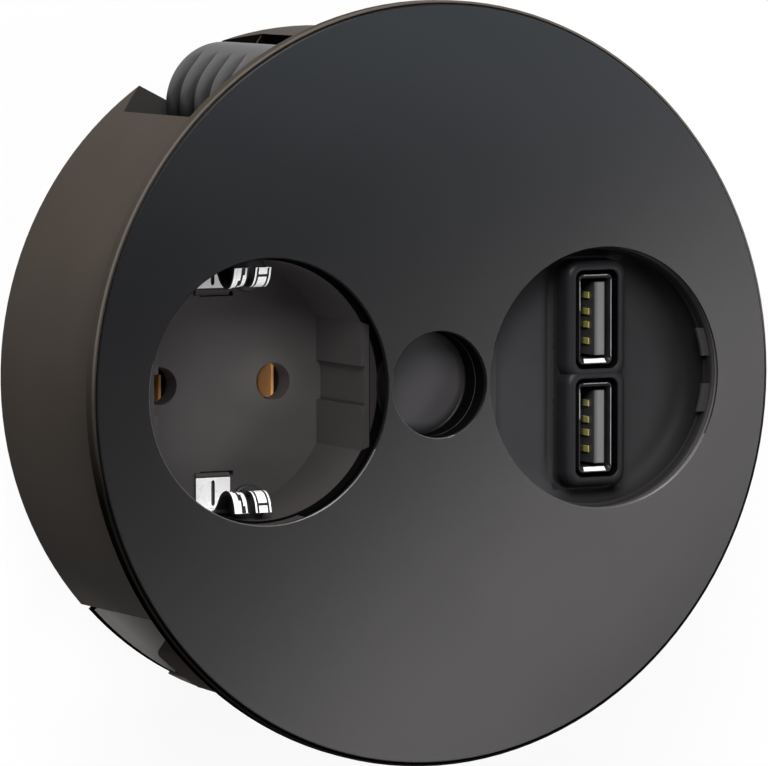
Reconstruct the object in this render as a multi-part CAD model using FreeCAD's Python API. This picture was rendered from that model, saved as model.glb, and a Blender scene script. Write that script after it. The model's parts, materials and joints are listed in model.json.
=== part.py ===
import FreeCAD, Part
import math
import os

# Recessed desk socket: a round can let into a desk, with a turning cover
# disc, an earthed mains pot, two charging ports and two eccentric clamps.
# Lengths are in millimetres. Z = 0 is the desk surface under the flange,
# +Z points out of the desk, the mains pot is at -X and the ports are at +X.

V = FreeCAD.Vector

# Can
can_r = 52.7
can_wall = 1.8
can_length = 39.3
rear_t = 2.2
rib_t = 3.0
can_in_r = can_r - can_wall

# Wells: inside radius of both inserts
insert_r = 19.4

# Cover and flange
flange_overhang = 4.8
flange_r = can_r + flange_overhang
flange_t = 2.0
cover_t = 0.7
cover_gap = 0.3
well_ledge = 0.4
hole_r = insert_r + well_ledge
finger_r = 8.0
web = 0.7
hole_x = finger_r + web + hole_r
edge_bevel = 0.15
flange_bevel = 0.6
lip_height = 0.5
lip_width = 0.35
seat_width = 2.0
relief_r = flange_r - seat_width
relief_depth = 0.3

# Deck under the cover
deck_drop = 0.2
deck_t = 2.0
recess_step = 1.3
recess_r = can_in_r - recess_step

# Gaps between neighbours
fit_gap = 0.1
run_gap = 0.05
move_gap = 0.3
glide_gap = 0.05
seat_gap = 0.02
cover_r = flange_r - lip_width - move_gap

# Hub of the cover
cup_floor_depth = 3.8
cup_floor_t = 1.6
cup_wall = 0.6
cup_r = 9.0
bearing_wall = 1.05
bearing_length = 6.6
hub_boss_r = 4.0
retainer_t = 0.8
hub_screw_head_t = 1.8
friction_t = 0.25

# Cover stop
stop_inset = 1.6
stop_length = 4.0
stop_r = recess_r - stop_inset - 0.5 * stop_length
stop_width = 3.0
stop_height = 1.9
stop_from = 40.0
cover_travel = 90.0
stop_clear = 0.25

# Glide ring
glide_inset = 2.5
glide_r = flange_r - glide_inset
glide_width = 2.0
glide_depth = 0.8

# Inserts: the pot and the port dish share one outline
insert_wall = 1.0
flat_x = insert_r - 2.55
flat_wall = 1.4
ear_r = 3.2
ear_offset = 4.1
ear_y = insert_r + insert_wall + ear_offset
ear_length = 6.3

# Mains pot
pot_floor_z = -14.6
pot_floor_t = 3.5
pin_x = 9.5
pin_hole_r = 2.825
pin_reach = 19.0
groove_width = 6.0
groove_depth = 0.7
rib_from = 245.0
rib_to = 288.0

# Earth clips
clip_width = 5.4
clip_t = 0.5
clip_slot = 0.9
clip_slit = 0.7
clip_in_y = insert_r - 5.9
clip_wall_y = insert_r - 0.5
nose_y = insert_r - 4.0
nose_z = -3.2
bridge_t = 0.5

# Mains contacts
leaf_t = 0.5
leaf_half = 3.0
leaf_top_z = -20.0
leaf_x = 2.42
left_leaf_rise = 1.2
tail_width = 4.0
tail_end_y = -16.0
carrier_x = 14.5
carrier_y = 6.5
carrier_z = -36.2
cage_width = 6.6
cage_length = 5.5
cage_wall = 1.0
cage_height = 6.0
cage_screw_head_r = 2.2

# Port dish
dish_floor_z = -4.0
dish_floor_t = 2.0
frame_r = 21.0
tab_reach = 1.25
tab_from = 2.15
tab_to = 6.4
tab_z = 0.3
tab_t = 0.6
port_shift = 0.4
port_x = hole_x + port_shift
port_y = 0.4
port_pitch = 16.5
collar_w = 10.4
collar_h = 17.9
collar_top_z = 0.0
opening_w = 7.3
opening_h = 15.0
opening_depth = 3.0
shell_w = 5.7
shell_h = 13.1
shell_t = 0.3
shell_top_z = -0.6
tongue_w = 1.84
tongue_h = 11.2
tongue_side_gap = 0.35
tongue_set_back = 1.0
pad_t = 0.25
pad_width = 1.0
pad_set_back = 1.4
pad_length = 8.0
pad_places = (-3.5, -1.0, 1.0, 3.5)

# Charger board
board_top_z = -16.0
board_t = 1.6
board_near = 16.0
board_far = 16.5
board_x0 = hole_x - board_near
board_x1 = hole_x + board_far
board_half_y = 15.0
board_post_r = 2.6
board_post_spread = 12.5
board_post_x = (hole_x - board_post_spread, hole_x + board_post_spread)
board_post_y = 12.0
board_screw_head_r = 2.4
board_screw_head_t = 1.4
board_screw_bite = 4.5

# Parts under the charger board, X counted from its near edge
core_start = 7.5
core_width = 16.0
core_x0 = board_x0 + core_start
core_x1 = core_x0 + core_width
core_y0 = -2.5
core_y1 = 6.5
core_height = 12.0
core_feet_t = 1.5
core_feet_reach = 2.5
coil_w = 12.0
coil_h = 15.0
coil_round = 3.0
coil_inset = 2.0
capacitor_sizes = ((3.7, -1.5, 3.4, 15.0), (27.0, 2.0, 3.2, 12.0), (9.5, -9.5, 3.2, 12.0))
choke_x = 19.5
choke_y = -10.3
choke_r = 3.2
choke_height = 8.0
choke_flange_r = 4.2
choke_flange_t = 1.2
chip_sizes = ((25.5, 30.5, -7.5, -3.5, 1.6), (13.1, 14.7, -12.0, -7.0, 1.2),
              (2.0, 7.0, 4.5, 8.5, 1.6))

# Screws
screw_r = 1.4
screw_head_r = 2.7
screw_head_h = 1.2
screw_length = 6.0
screw_slot = 0.7
post_r = 3.3
post_inset = 4.4
post_angle = 28.0

# Clamps: one at the upper left, the same again half a turn away
window_from = 101.5
window_to = 130.3
rear_lip = 4.7
window_rear_z = rear_lip - can_length
window_front_z = -5.0
rear_open_from = 106.5
rear_open_to = 123.6
funnel_side_from = 231.7
funnel_side_to = -26.5
spindle_inset = 8.375
spindle_angle = 111.376
spindle_r = 2.5
spindle_tip_r = 1.6
spindle_tip_depth = 3.4
spindle_head_r = 3.5
spindle_head_t = 0.9
spindle_boss_r = 4.5
spindle_boss_length = 3.8
cam_r = 9.5
cam_shift = 3.0
cam_turn = 150.0
cam_gap = 0.4
cam_bevel = 0.8
chamber_r = 13.0
chamber_wall = 1.6
groove_pitch = 4.8
groove_first = 4.6
groove_deep = 1.3
groove_fade = 105.0

# Cable bay at the lower left
bay_from = 221.8
bay_to = 242.3
bay_depth = 8.7
bay_floor_r = can_r - bay_depth
bay_wall = 1.6
bay_front_z = -5.0
bay_slot = 1.4
bay_slot_depth = 3.5
bay_plate_inset = 0.4
bay_plate_r = can_r - bay_plate_inset
inlet_drop = 7.0
inlet_r = 3.4
gland_r = 4.6
gland_flange_r = 5.8
gland_flange_t = 1.2
lug_reach = 2.5
lug_r = can_r + lug_reach
lug_half_deg = 4.95
lug_length = 12.0
lug_rear_z = bay_front_z - lug_length
lug_corner = 0.8
inlet_z = lug_rear_z - inlet_drop
lug_screw_z = 0.5 * (bay_front_z + lug_rear_z)

# Heights and places worked out from the driving sizes
cover_z0 = flange_t + cover_gap
cover_z1 = cover_z0 + cover_t
lip_z = flange_t + lip_height
deck_top = -deck_drop
deck_bottom = deck_top - deck_t
rear_z = -can_length
inside_z = rear_z + rear_t
insert_out_r = insert_r + insert_wall
flat_out_x = flat_x + flat_wall
pot_back_z = pot_floor_z - pot_floor_t
base_top_z = pot_floor_z - pin_reach - move_gap
base_z = base_top_z - leaf_t
boss_end_z = deck_bottom - spindle_boss_length
cam_front_z = boss_end_z - cam_gap
cam_rear_z = window_rear_z + cam_gap
bay_mid = 0.5 * (bay_from + bay_to)


def polar(r, degrees):
    a = math.radians(degrees)
    return (r * math.cos(a), r * math.sin(a))


spindle_x, spindle_y = polar(can_in_r - spindle_inset, spindle_angle)
post_x, post_y = polar(can_in_r - post_inset, post_angle)


def cyl(r, z0, z1, x=0.0, y=0.0):
    return Part.makeCylinder(r, z1 - z0, V(x, y, z0))


def ring(r_out, r_in, z0, z1, x=0.0, y=0.0):
    return cyl(r_out, z0, z1, x, y).cut(cyl(r_in, z0 - 1, z1 + 1, x, y))


def block(x0, x1, y0, y1, z0, z1):
    return Part.makeBox(x1 - x0, y1 - y0, z1 - z0, V(x0, y0, z0))


def prism(points, z0, z1):
    corners = [V(x, y, z0) for x, y in points]
    face = Part.Face(Part.makePolygon(corners + corners[:1]))
    return face.extrude(V(0, 0, z1 - z0))


def turned(profile, x=0.0, y=0.0):
    corners = [V(r, 0, z) for r, z in profile]
    face = Part.Face(Part.makePolygon(corners + corners[:1]))
    solid = face.revolve(V(0, 0, 0), V(0, 0, 1), 360)
    solid.translate(V(x, y, 0))
    return solid


def joined(pieces):
    whole = pieces[0].multiFuse(pieces[1:]) if len(pieces) > 1 else pieces[0]
    return whole.removeSplitter()


def without(shape, tools):
    return shape.cut(tools).removeSplitter()


def spun(shape, degrees, x=0.0, y=0.0):
    copy = shape.copy()
    copy.rotate(V(x, y, 0), V(0, 0, 1), degrees)
    return copy


def moved(shape, x, y=0.0, z=0.0):
    copy = shape.copy()
    copy.translate(V(x, y, z))
    return copy


def group(pieces):
    return Part.makeCompound(pieces)


def rounded(width, height, radius, z0, z1, x=0.0, y=0.0):
    # upright block with four rounded corners
    w = 0.5 * width
    h = 0.5 * height
    pieces = [block(x - w, x + w, y - h + radius, y + h - radius, z0, z1),
              block(x - w + radius, x + w - radius, y - h, y + h, z0, z1)]
    for sx in (-1, 1):
        for sy in (-1, 1):
            pieces.append(cyl(radius, z0, z1, x + sx * (w - radius), y + sy * (h - radius)))
    return joined(pieces)


def strip(path, thickness):
    # closed outline of a bent strip, mitred, half its thickness each side
    left = []
    right = []
    for i in range(len(path)):
        steps = []
        if i > 0:
            steps.append((path[i][0] - path[i - 1][0], path[i][1] - path[i - 1][1]))
        if i < len(path) - 1:
            steps.append((path[i + 1][0] - path[i][0], path[i + 1][1] - path[i][1]))
        normals = [(-dy / math.hypot(dx, dy), dx / math.hypot(dx, dy)) for dx, dy in steps]
        nx = sum(n[0] for n in normals)
        ny = sum(n[1] for n in normals)
        size = math.hypot(nx, ny)
        nx = nx / size
        ny = ny / size
        reach = 0.5 * thickness / (nx * normals[0][0] + ny * normals[0][1])
        left.append((path[i][0] + nx * reach, path[i][1] + ny * reach))
        right.append((path[i][0] - nx * reach, path[i][1] - ny * reach))
    return left + right[::-1]


# Screws with countersunk heads

def sunk_screw(x, y, top, length, down=1):
    # down = 1 points the screw to -Z, down = -1 to +Z
    profile = [(0, 0), (screw_head_r, 0), (screw_r, -down * screw_head_h),
               (screw_r, -down * length), (0, -down * length)]
    body = turned([(r, z + top) for r, z in profile], x, y)
    slot_z = sorted((top - down * 0.5, top + down))
    slot = block(x - screw_head_r, x + screw_head_r, y - 0.5 * screw_slot, y + 0.5 * screw_slot,
                 slot_z[0], slot_z[1])
    return without(body, [slot])


def sunk_hole(x, y, top, depth, down=1):
    r_head = screw_head_r + fit_gap
    r_hole = screw_r + fit_gap
    profile = [(0, down), (r_head, down), (r_head, 0), (r_hole, -down * screw_head_h),
               (r_hole, -down * depth), (0, -down * depth)]
    return turned([(r, z + top) for r, z in profile], x, y)


def deck_screw_places():
    return [(sx * post_x, sy * post_y) for sx in (-1, 1) for sy in (-1, 1)]


def ear_places():
    return [(sx * hole_x, sy * ear_y) for sx in (-1, 1) for sy in (-1, 1)]


# Cover

def make_cover_disc():
    b = edge_bevel
    disc = turned([(0, cover_z0), (cover_r - b, cover_z0), (cover_r, cover_z0 + b),
                   (cover_r, cover_z1 - b), (cover_r - b, cover_z1), (0, cover_z1)])
    tools = []
    for x, r in ((-hole_x, hole_r), (hole_x, hole_r), (0, finger_r)):
        tools.append(cyl(r, cover_z0 - 1, cover_z1 + 1, x))
        tools.append(Part.makeCone(r, r + b, b, V(x, 0, cover_z1 - b)))
    disc = without(disc, tools)
    tab = block(stop_r - 0.5 * stop_length, stop_r + 0.5 * stop_length,
                -0.5 * stop_width, 0.5 * stop_width, cover_z0 - stop_height, cover_z0)
    return joined([disc, spun(tab, stop_from)])


def make_hub_cup():
    floor_z = -cup_floor_depth
    bottom = floor_z - cup_floor_t
    shoulder = deck_top - move_gap
    boss_end = deck_top - bearing_length - friction_t - glide_gap
    neck_r = finger_r + cup_wall
    cup = turned([(0, floor_z), (finger_r, floor_z), (finger_r, cover_z0), (neck_r, cover_z0),
                  (neck_r, shoulder), (cup_r, shoulder), (cup_r, bottom), (hub_boss_r, bottom),
                  (hub_boss_r, boss_end), (0, boss_end)])
    return without(cup, [cyl(screw_r + run_gap, boss_end - 1, floor_z - 0.8)])


def make_hub_retainer():
    top = deck_top - bearing_length - friction_t - glide_gap
    r = cup_r + bearing_wall
    return ring(r, screw_r + fit_gap, top - retainer_t, top)


def make_hub_screw():
    top = deck_top - bearing_length - friction_t - glide_gap - retainer_t
    head = cyl(screw_head_r, top - hub_screw_head_t, top)
    shank = cyl(screw_r, top, -cup_floor_depth - 1.0)
    slot = block(-3, 3, -0.5 * screw_slot, 0.5 * screw_slot,
                 top - hub_screw_head_t - 0.2, top - hub_screw_head_t + 0.6)
    return without(joined([head, shank]), [slot])


# Flange and deck

def insert_outline(r, near, far, z0, z1, x):
    # circle of radius r cut flat at x - near and x + far
    return cyl(r, z0, z1, x).common(block(x - near, x + far, -r - 1, r + 1, z0, z1))


def make_flange_deck():
    b = flange_bevel
    rim_r = can_in_r - fit_gap
    deck = turned([(0, deck_bottom), (rim_r, deck_bottom), (rim_r, relief_depth),
                   (relief_r, relief_depth), (relief_r, 0), (flange_r - b, 0),
                   (flange_r, b), (flange_r, lip_z - 0.1), (flange_r - 0.1, lip_z),
                   (flange_r - lip_width, lip_z), (flange_r - lip_width, flange_t),
                   (recess_r, flange_t), (recess_r, deck_top), (0, deck_top)])
    bearing = cyl(cup_r + bearing_wall, deck_top - bearing_length, deck_top)
    bosses = [bearing]
    for turn in (0, 180):
        x, y = spindle_place(turn)
        bosses.append(cyl(spindle_boss_r, boss_end_z, deck_bottom, x, y))
    lag = math.degrees((0.5 * stop_width + stop_clear) / stop_r)
    for angle in (stop_from - 2 * lag, stop_from + cover_travel + 2 * lag):
        stop = block(stop_r - 0.5 * stop_length, stop_r + 0.5 * stop_length,
                     -0.5 * stop_width, 0.5 * stop_width, deck_top, flange_t - move_gap)
        bosses.append(spun(stop, angle))
    deck = joined([deck] + bosses)
    hole_r_out = insert_out_r + fit_gap
    hole_flat = flat_out_x + fit_gap
    z0 = deck_bottom - 1
    z1 = deck_top + 1
    tools = [insert_outline(hole_r_out, hole_flat, hole_flat, z0, z1, -hole_x),
             insert_outline(hole_r_out, hole_flat, hole_r_out, z0, z1, hole_x),
             cyl(cup_r + run_gap, deck_top - bearing_length - 1, deck_top + 1)]
    for x, y in deck_screw_places() + ear_places():
        tools.append(sunk_hole(x, y, deck_top, deck_t + 1))
    for turn in (0, 180):
        x, y = spindle_place(turn)
        tools.append(cyl(spindle_r + run_gap, boss_end_z - 1, 1, x, y))
        tools.append(cyl(spindle_head_r + move_gap, deck_top - spindle_head_t - fit_gap - run_gap, 1, x, y))
    tools.append(ring(glide_r + 0.5 * glide_width + fit_gap, glide_r - 0.5 * glide_width - fit_gap,
                      flange_t - glide_depth, flange_t + 1))
    return without(deck, tools)


def make_glide_ring():
    return ring(glide_r + 0.5 * glide_width, glide_r - 0.5 * glide_width,
                flange_t - glide_depth, cover_z0 - glide_gap)


def make_friction_ring():
    z1 = deck_top - bearing_length
    return ring(cup_r + bearing_wall, cup_r + 2 * run_gap, z1 - friction_t, z1)


# Clamps

def spindle_place(turn):
    flip = -1 if turn == 180 else 1
    return (flip * spindle_x, flip * spindle_y)


def cam_centre():
    dx, dy = polar(cam_shift, cam_turn)
    return (spindle_x + dx, spindle_y + dy)


def chamber_wall_line():
    # from the window edge, tangent to the chamber circle
    ax, ay = polar(can_r, window_to)
    dx = spindle_x - ax
    dy = spindle_y - ay
    span = math.hypot(dx, dy)
    angle = math.atan2(dy, dx) - math.asin(chamber_r / span)
    reach = math.sqrt(span ** 2 - chamber_r ** 2)
    return (ax, ay), (math.cos(angle), math.sin(angle)), reach


def chamber_plan(grow, z0, z1):
    # chamber seen from the front, grown outwards by a wall thickness
    start, way, reach = chamber_wall_line()
    out = 4.0
    side = (way[1] * grow, -way[0] * grow)
    corners = [(start[0] - out * way[0] + side[0], start[1] - out * way[1] + side[1]),
               (start[0] + reach * way[0] + side[0], start[1] + reach * way[1] + side[1]),
               (spindle_x, spindle_y),
               polar(can_in_r - 3, window_from),
               polar(can_r + 4, window_from)]
    wedge = prism(corners, z0, z1)
    chamber = cyl(chamber_r + grow, z0, z1, spindle_x, spindle_y)
    return wedge, chamber.common(cyl(can_in_r, z0, z1))


def corner_of(p, p_deg, q, q_deg):
    # meeting point of the lines through p and q with the given directions
    ux, uy = polar(1, p_deg)
    vx, vy = polar(1, q_deg)
    cross = ux * vy - uy * vx
    t = ((q[0] - p[0]) * vy - (q[1] - p[1]) * vx) / cross
    return (p[0] + ux * t, p[1] + uy * t)


def rear_funnel():
    # the window narrows to an opening in the rear edge of the can
    loops = []
    for z, a_from, a_to in ((window_rear_z, window_from, window_to),
                            (rear_z, rear_open_from, rear_open_to)):
        b = polar(can_r, a_from)
        a = polar(can_r, a_to)
        tip = corner_of(a, funnel_side_to, b, funnel_side_from)
        ux, uy = polar(6, funnel_side_to)
        vx, vy = polar(6, funnel_side_from)
        points = [(a[0] - ux, a[1] - uy), tip, (b[0] - vx, b[1] - vy)]
        loops.append([V(x, y, z) for x, y in points])
    low = [v + (v - u) * 0.02 for u, v in zip(loops[0], loops[1])]
    wires = [Part.makePolygon(loop + loop[:1]) for loop in (loops[0], low)]
    return Part.makeLoft(wires, True, True)


def make_clamp_cam():
    x, y = cam_centre()
    b = cam_bevel
    drum = turned([(0, cam_rear_z), (cam_r - b, cam_rear_z), (cam_r, cam_rear_z + b),
                   (cam_r, cam_front_z - b), (cam_r - b, cam_front_z), (0, cam_front_z)], x, y)
    fade = math.cos(math.radians(groove_fade))
    shift = groove_deep / (1 + fade)
    bottom_r = cam_r - groove_deep + shift
    wide = 1.8
    tools = [cyl(spindle_r + seat_gap, cam_rear_z - 1, cam_front_z + 1, spindle_x, spindle_y)]
    count = int((cam_front_z - cam_rear_z - groove_first) / groove_pitch) + 1
    for k in range(count):
        z = cam_rear_z + groove_first + k * groove_pitch
        tools.append(turned([(bottom_r, z), (bottom_r + 2.2, z - wide),
                             (bottom_r + 2.2, z + wide)], x + shift, y))
    return without(drum, tools)


def make_clamp_spindle():
    head_top = deck_top - fit_gap
    tip = window_rear_z - spindle_tip_depth
    profile = [(0, head_top), (spindle_head_r, head_top), (spindle_head_r, head_top - spindle_head_t),
               (spindle_r, head_top - spindle_head_t), (spindle_r, cam_rear_z),
               (spindle_tip_r, cam_rear_z), (spindle_tip_r, tip), (0, tip)]
    body = turned(profile, spindle_x, spindle_y)
    slots = []
    for wx, wy in ((2.4, 0.45), (0.45, 2.4)):
        slots.append(block(spindle_x - wx, spindle_x + wx, spindle_y - wy, spindle_y + wy,
                           head_top - 0.7, head_top + 1))
    return without(body, slots)


# Can and rear cover

def bay_corners(r_in, r_out, angle_from, angle_to):
    return [polar(r_in, angle_from), polar(r_out, angle_from),
            polar(r_out, angle_to), polar(r_in, angle_to)]


def inlet_cylinder(r, r_from, r_to):
    x, y = polar(r_from, bay_mid)
    ux, uy = polar(1, bay_mid)
    return Part.makeCylinder(r, r_to - r_from, V(x, y, inlet_z), V(ux, uy, 0))


def make_housing_can():
    top = deck_bottom - fit_gap
    solids = [ring(can_r, can_in_r, rear_z, relief_depth)]
    tools = []
    for x, y in deck_screw_places():
        angle = math.degrees(math.atan2(y, x))
        r = math.hypot(x, y)
        rib = block(r, can_in_r + 0.5, -0.5 * rib_t, 0.5 * rib_t, inside_z + fit_gap, top)
        solids.append(cyl(post_r, inside_z + fit_gap, top, x, y))
        solids.append(spun(rib, angle))
        tools.append(cyl(screw_r + run_gap, top - 8, top + 1, x, y))
        tools.append(cyl(screw_r + run_gap, inside_z - 1, inside_z + 8, x, y))
    lag = math.degrees(bay_wall / bay_floor_r)
    lining = prism(bay_corners(bay_floor_r - bay_wall, can_r + 4, bay_from - lag, bay_to + lag),
                   inside_z + fit_gap, bay_front_z + bay_wall)
    solids.append(lining.common(cyl(can_r, rear_z, 0)))
    tools.append(prism(bay_corners(bay_floor_r, can_r + 4, bay_from, bay_to),
                       rear_z - 1, bay_front_z))
    tools.append(inlet_cylinder(gland_r + fit_gap, bay_floor_r - 4, bay_floor_r + 1))
    screw_x, screw_y = polar(bay_floor_r - 4, bay_mid)
    ux, uy = polar(1, bay_mid)
    tools.append(Part.makeCylinder(screw_r + fit_gap, 5, V(screw_x, screw_y, lug_screw_z),
                                   V(ux, uy, 0)))
    for turn in (0, 180):
        wedge, chamber = chamber_plan(chamber_wall, rear_z, top)
        solid = joined([wedge, chamber]).common(cyl(can_r, rear_z, top))
        solids.append(spun(solid, turn))
        wedge, chamber = chamber_plan(0.0, window_rear_z, window_front_z)
        tools.append(spun(wedge, turn))
        wide = cyl(chamber_r, window_rear_z, top + 1, spindle_x, spindle_y)
        tools.append(spun(wide.common(cyl(can_in_r, window_rear_z, top + 1)), turn))
        tools.append(spun(rear_funnel(), turn))
        x, y = spindle_place(turn)
        tools.append(cyl(spindle_tip_r + run_gap, window_rear_z - spindle_tip_depth - move_gap,
                         window_rear_z + 1, x, y))
    return without(joined(solids), tools)


def make_rear_cover():
    r = can_in_r - fit_gap
    plate = cyl(r, rear_z, inside_z)
    slot_deg = math.degrees(bay_slot / can_r)
    tab = prism(bay_corners(bay_floor_r, can_r + 4, bay_from + slot_deg, bay_to - 0.1),
                rear_z, inside_z).common(cyl(bay_plate_r, rear_z, inside_z))
    tools = [prism(bay_corners(can_r - bay_slot_depth, can_r + 4, bay_from, bay_from + slot_deg),
                   rear_z - 1, inside_z + 1)]
    for turn in (0, 180):
        wedge, chamber = chamber_plan(chamber_wall + fit_gap, rear_z - 1, inside_z + 1)
        tools.append(spun(wedge, turn))
        tools.append(spun(cyl(chamber_r + chamber_wall + fit_gap, rear_z - 1, inside_z + 1,
                              spindle_x, spindle_y), turn))
    for x, y in deck_screw_places():
        tools.append(sunk_hole(x, y, rear_z, rear_t + 1, -1))
    return without(joined([plate, tab]), tools)


def bay_wall_span():
    # distances of the bay's flat back wall from the axis, inside and outside
    half = 0.5 * (bay_to - bay_from)
    lag = math.degrees(bay_wall / bay_floor_r)
    outside = bay_floor_r * math.cos(math.radians(half))
    inside = (bay_floor_r - bay_wall) * math.cos(math.radians(half + lag))
    return inside, outside


def make_locating_lug():
    # stub in the middle of the bay that keys into a notch in the desk
    wall_out = bay_wall_span()[1]
    half_w = lug_r * math.sin(math.radians(lug_half_deg))
    body = block(wall_out, lug_r + 1, -half_w, half_w, lug_rear_z, bay_front_z)
    body = body.common(cyl(lug_r, lug_rear_z, bay_front_z))
    corners = [e for e in body.Edges if len(e.Vertexes) == 2
               and all(math.hypot(v.X, v.Y) > can_r and abs(v.Y) > half_w - 0.01
                       for v in e.Vertexes)
               and abs(e.Vertexes[0].Z - e.Vertexes[1].Z) > 1]
    body = body.makeFillet(lug_corner, corners)
    hole = Part.makeCylinder(screw_r + run_gap, 6, V(wall_out - 1, 0, lug_screw_z), V(1, 0, 0))
    return spun(without(body, [hole]), bay_mid)


def make_lug_screw():
    wall_in, wall_out = bay_wall_span()
    head = Part.makeCylinder(screw_head_r, 1.5, V(wall_in - 1.5, 0, lug_screw_z), V(1, 0, 0))
    shank = Part.makeCylinder(screw_r, wall_out - wall_in + 4, V(wall_in, 0, lug_screw_z),
                              V(1, 0, 0))
    slot = block(wall_in - 2, wall_in - 0.9, -0.5 * screw_slot, 0.5 * screw_slot,
                 lug_screw_z - screw_head_r, lug_screw_z + screw_head_r)
    return spun(without(joined([head, shank]), [slot]), bay_mid)


def make_cable_gland():
    wall_in, r_in = bay_wall_span()
    sleeve = inlet_cylinder(gland_r, wall_in - gland_flange_t, r_in)
    inner = inlet_cylinder(gland_flange_r, wall_in - gland_flange_t - fit_gap, wall_in - fit_gap)
    outer = inlet_cylinder(gland_flange_r, r_in, r_in + gland_flange_t)
    bore = inlet_cylinder(inlet_r, wall_in - 4, r_in + 4)
    return without(joined([sleeve, inner, outer]), [bore])


# Mains pot

def make_socket_insert():
    body = insert_outline(insert_out_r, flat_out_x, flat_out_x, pot_back_z, deck_top, -hole_x)
    pieces = [body]
    for sy in (-1, 1):
        y = sy * ear_y
        boss_z = deck_bottom - ear_length
        pieces.append(cyl(ear_r, boss_z, deck_bottom - seat_gap, -hole_x, y))
        reach = sorted((sy * (insert_out_r - 1.2), y))
        pieces.append(block(-hole_x - 0.5 * rib_t, -hole_x + 0.5 * rib_t, reach[0], reach[1],
                            boss_z, deck_bottom - seat_gap))
    rim = ring(insert_out_r, hole_r, deck_top, flange_t, -hole_x)
    span = [(0, 0)] + [polar(30, a) for a in (rib_from, 0.5 * (rib_from + rib_to), rib_to)]
    wedge = moved(prism(span, deck_top, flange_t), -hole_x)
    pieces.append(rim.common(wedge))
    body = joined(pieces)
    tools = [insert_outline(insert_r, flat_x, flat_x, pot_floor_z, deck_top + 1, -hole_x)]
    g = 0.5 * groove_width
    deep = flat_x + groove_depth
    tools.append(block(-hole_x - deep, -hole_x + deep, -g, g, pot_floor_z, deck_top + 1))
    for sx in (-1, 1):
        tools.append(cyl(pin_hole_r, pot_back_z - 1, pot_floor_z + 1, -hole_x + sx * pin_x))
    for sy in (-1, 1):
        tools.append(cyl(screw_r + run_gap, deck_bottom - ear_length + 0.8, deck_bottom + 1,
                         -hole_x, sy * ear_y))
        y = sy * clip_in_y
        w = 0.5 * clip_width + fit_gap
        t = 0.5 * clip_t + fit_gap
        tools.append(block(-hole_x - w, -hole_x + w, y - t, y + t, pot_back_z - 1, pot_floor_z + 1))
    return without(body, tools)


def clip_path():
    # centre line of the clip in (distance from the pot axis, height)
    floor = pot_floor_z + 0.5 * clip_t + 0.03
    return [(clip_in_y, pot_back_z - seat_gap), (clip_in_y, floor), (clip_wall_y, floor),
            (clip_wall_y, nose_z - 5.0), (nose_y + 0.9, nose_z - 2.4), (nose_y, nose_z - 0.7),
            (nose_y + 0.1, nose_z + 0.7), (nose_y + 1.2, nose_z + 1.7),
            (clip_wall_y - 0.6, nose_z + 2.1)]


def make_earth_clip(side):
    outline = strip(clip_path(), clip_t)
    corners = [V(-0.5 * clip_width, side * y, z) for y, z in outline]
    face = Part.Face(Part.makePolygon(corners + corners[:1]))
    body = face.extrude(V(clip_width, 0, 0))
    slot_y = sorted((side * (clip_in_y + 1.0), side * (clip_wall_y - 0.6)))
    slit_y = sorted((side * (nose_y - 2.0), side * (clip_wall_y + 1.0)))
    tools = [block(-0.5 * clip_slot, 0.5 * clip_slot, slot_y[0], slot_y[1],
                   pot_floor_z - 1, pot_floor_z + 2),
             block(-0.5 * clip_slit, 0.5 * clip_slit, slit_y[0], slit_y[1],
                   nose_z - 4.4, nose_z + 4)]
    return moved(without(body, tools), -hole_x)


def make_earth_bridge():
    z1 = pot_back_z - seat_gap
    w = 0.5 * tail_width
    return block(-hole_x - w, -hole_x + w, earth_cage_y0() + 0.5, clip_in_y + 0.5,
                 z1 - bridge_t, z1)


def earth_cage_y0():
    return -insert_out_r - 0.7 - cage_length


def make_contact_carrier():
    body = block(-hole_x - carrier_x, -hole_x + carrier_x, -carrier_y, carrier_y,
                 carrier_z, pot_back_z)
    w = 0.5 * clip_width + 0.2
    tools = [block(-hole_x - w, -hole_x + w, -carrier_y - 1, carrier_y + 1,
                   pot_back_z - bridge_t - 0.3, pot_back_z + 1)]
    for sx in (-1, 1):
        x = -hole_x + sx * pin_x
        half = leaf_x + leaf_t + 0.4
        tools.append(block(x - half, x + half, -leaf_half - 0.4, leaf_half + 0.4,
                           base_z - seat_gap, pot_back_z + 1))
        t = 0.5 * tail_width + 0.2
        tools.append(block(x - t, x + t, -carrier_y - 1, 0, base_z - seat_gap, base_top_z + 0.4))
    return without(body, tools)


def make_pin_contact(sx):
    x = -hole_x + sx * pin_x
    rise = left_leaf_rise if sx < 0 else leaf_half
    out = leaf_x + leaf_t
    t = 0.5 * tail_width
    pieces = [block(x - out, x + out, -leaf_half, leaf_half, base_z, base_top_z),
              block(x - out, x - leaf_x, -leaf_half, leaf_half, base_z, leaf_top_z),
              block(x + leaf_x, x + out, -leaf_half, rise, base_z, leaf_top_z),
              block(x - t, x + t, tail_end_y, -leaf_half, base_z, base_top_z)]
    return joined(pieces)


def make_cage(x, y0, z0, flip):
    # square clamp round a strip and a wire end, open at both ends,
    # built from the strip's face at z0 towards its screw
    w = 0.5 * cage_width
    body = block(x - w, x + w, y0, y0 + cage_length, -cage_wall, cage_height - cage_wall)
    inner = block(x - w + cage_wall, x + w - cage_wall, y0 - 1, y0 + cage_length + 1,
                  0, cage_height - 2 * cage_wall)
    hole = cyl(screw_r + fit_gap, cage_height - 2 * cage_wall - 1, cage_height, x,
               y0 + 0.5 * cage_length)
    return placed(without(body, [inner, hole]), z0, flip)


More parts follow.
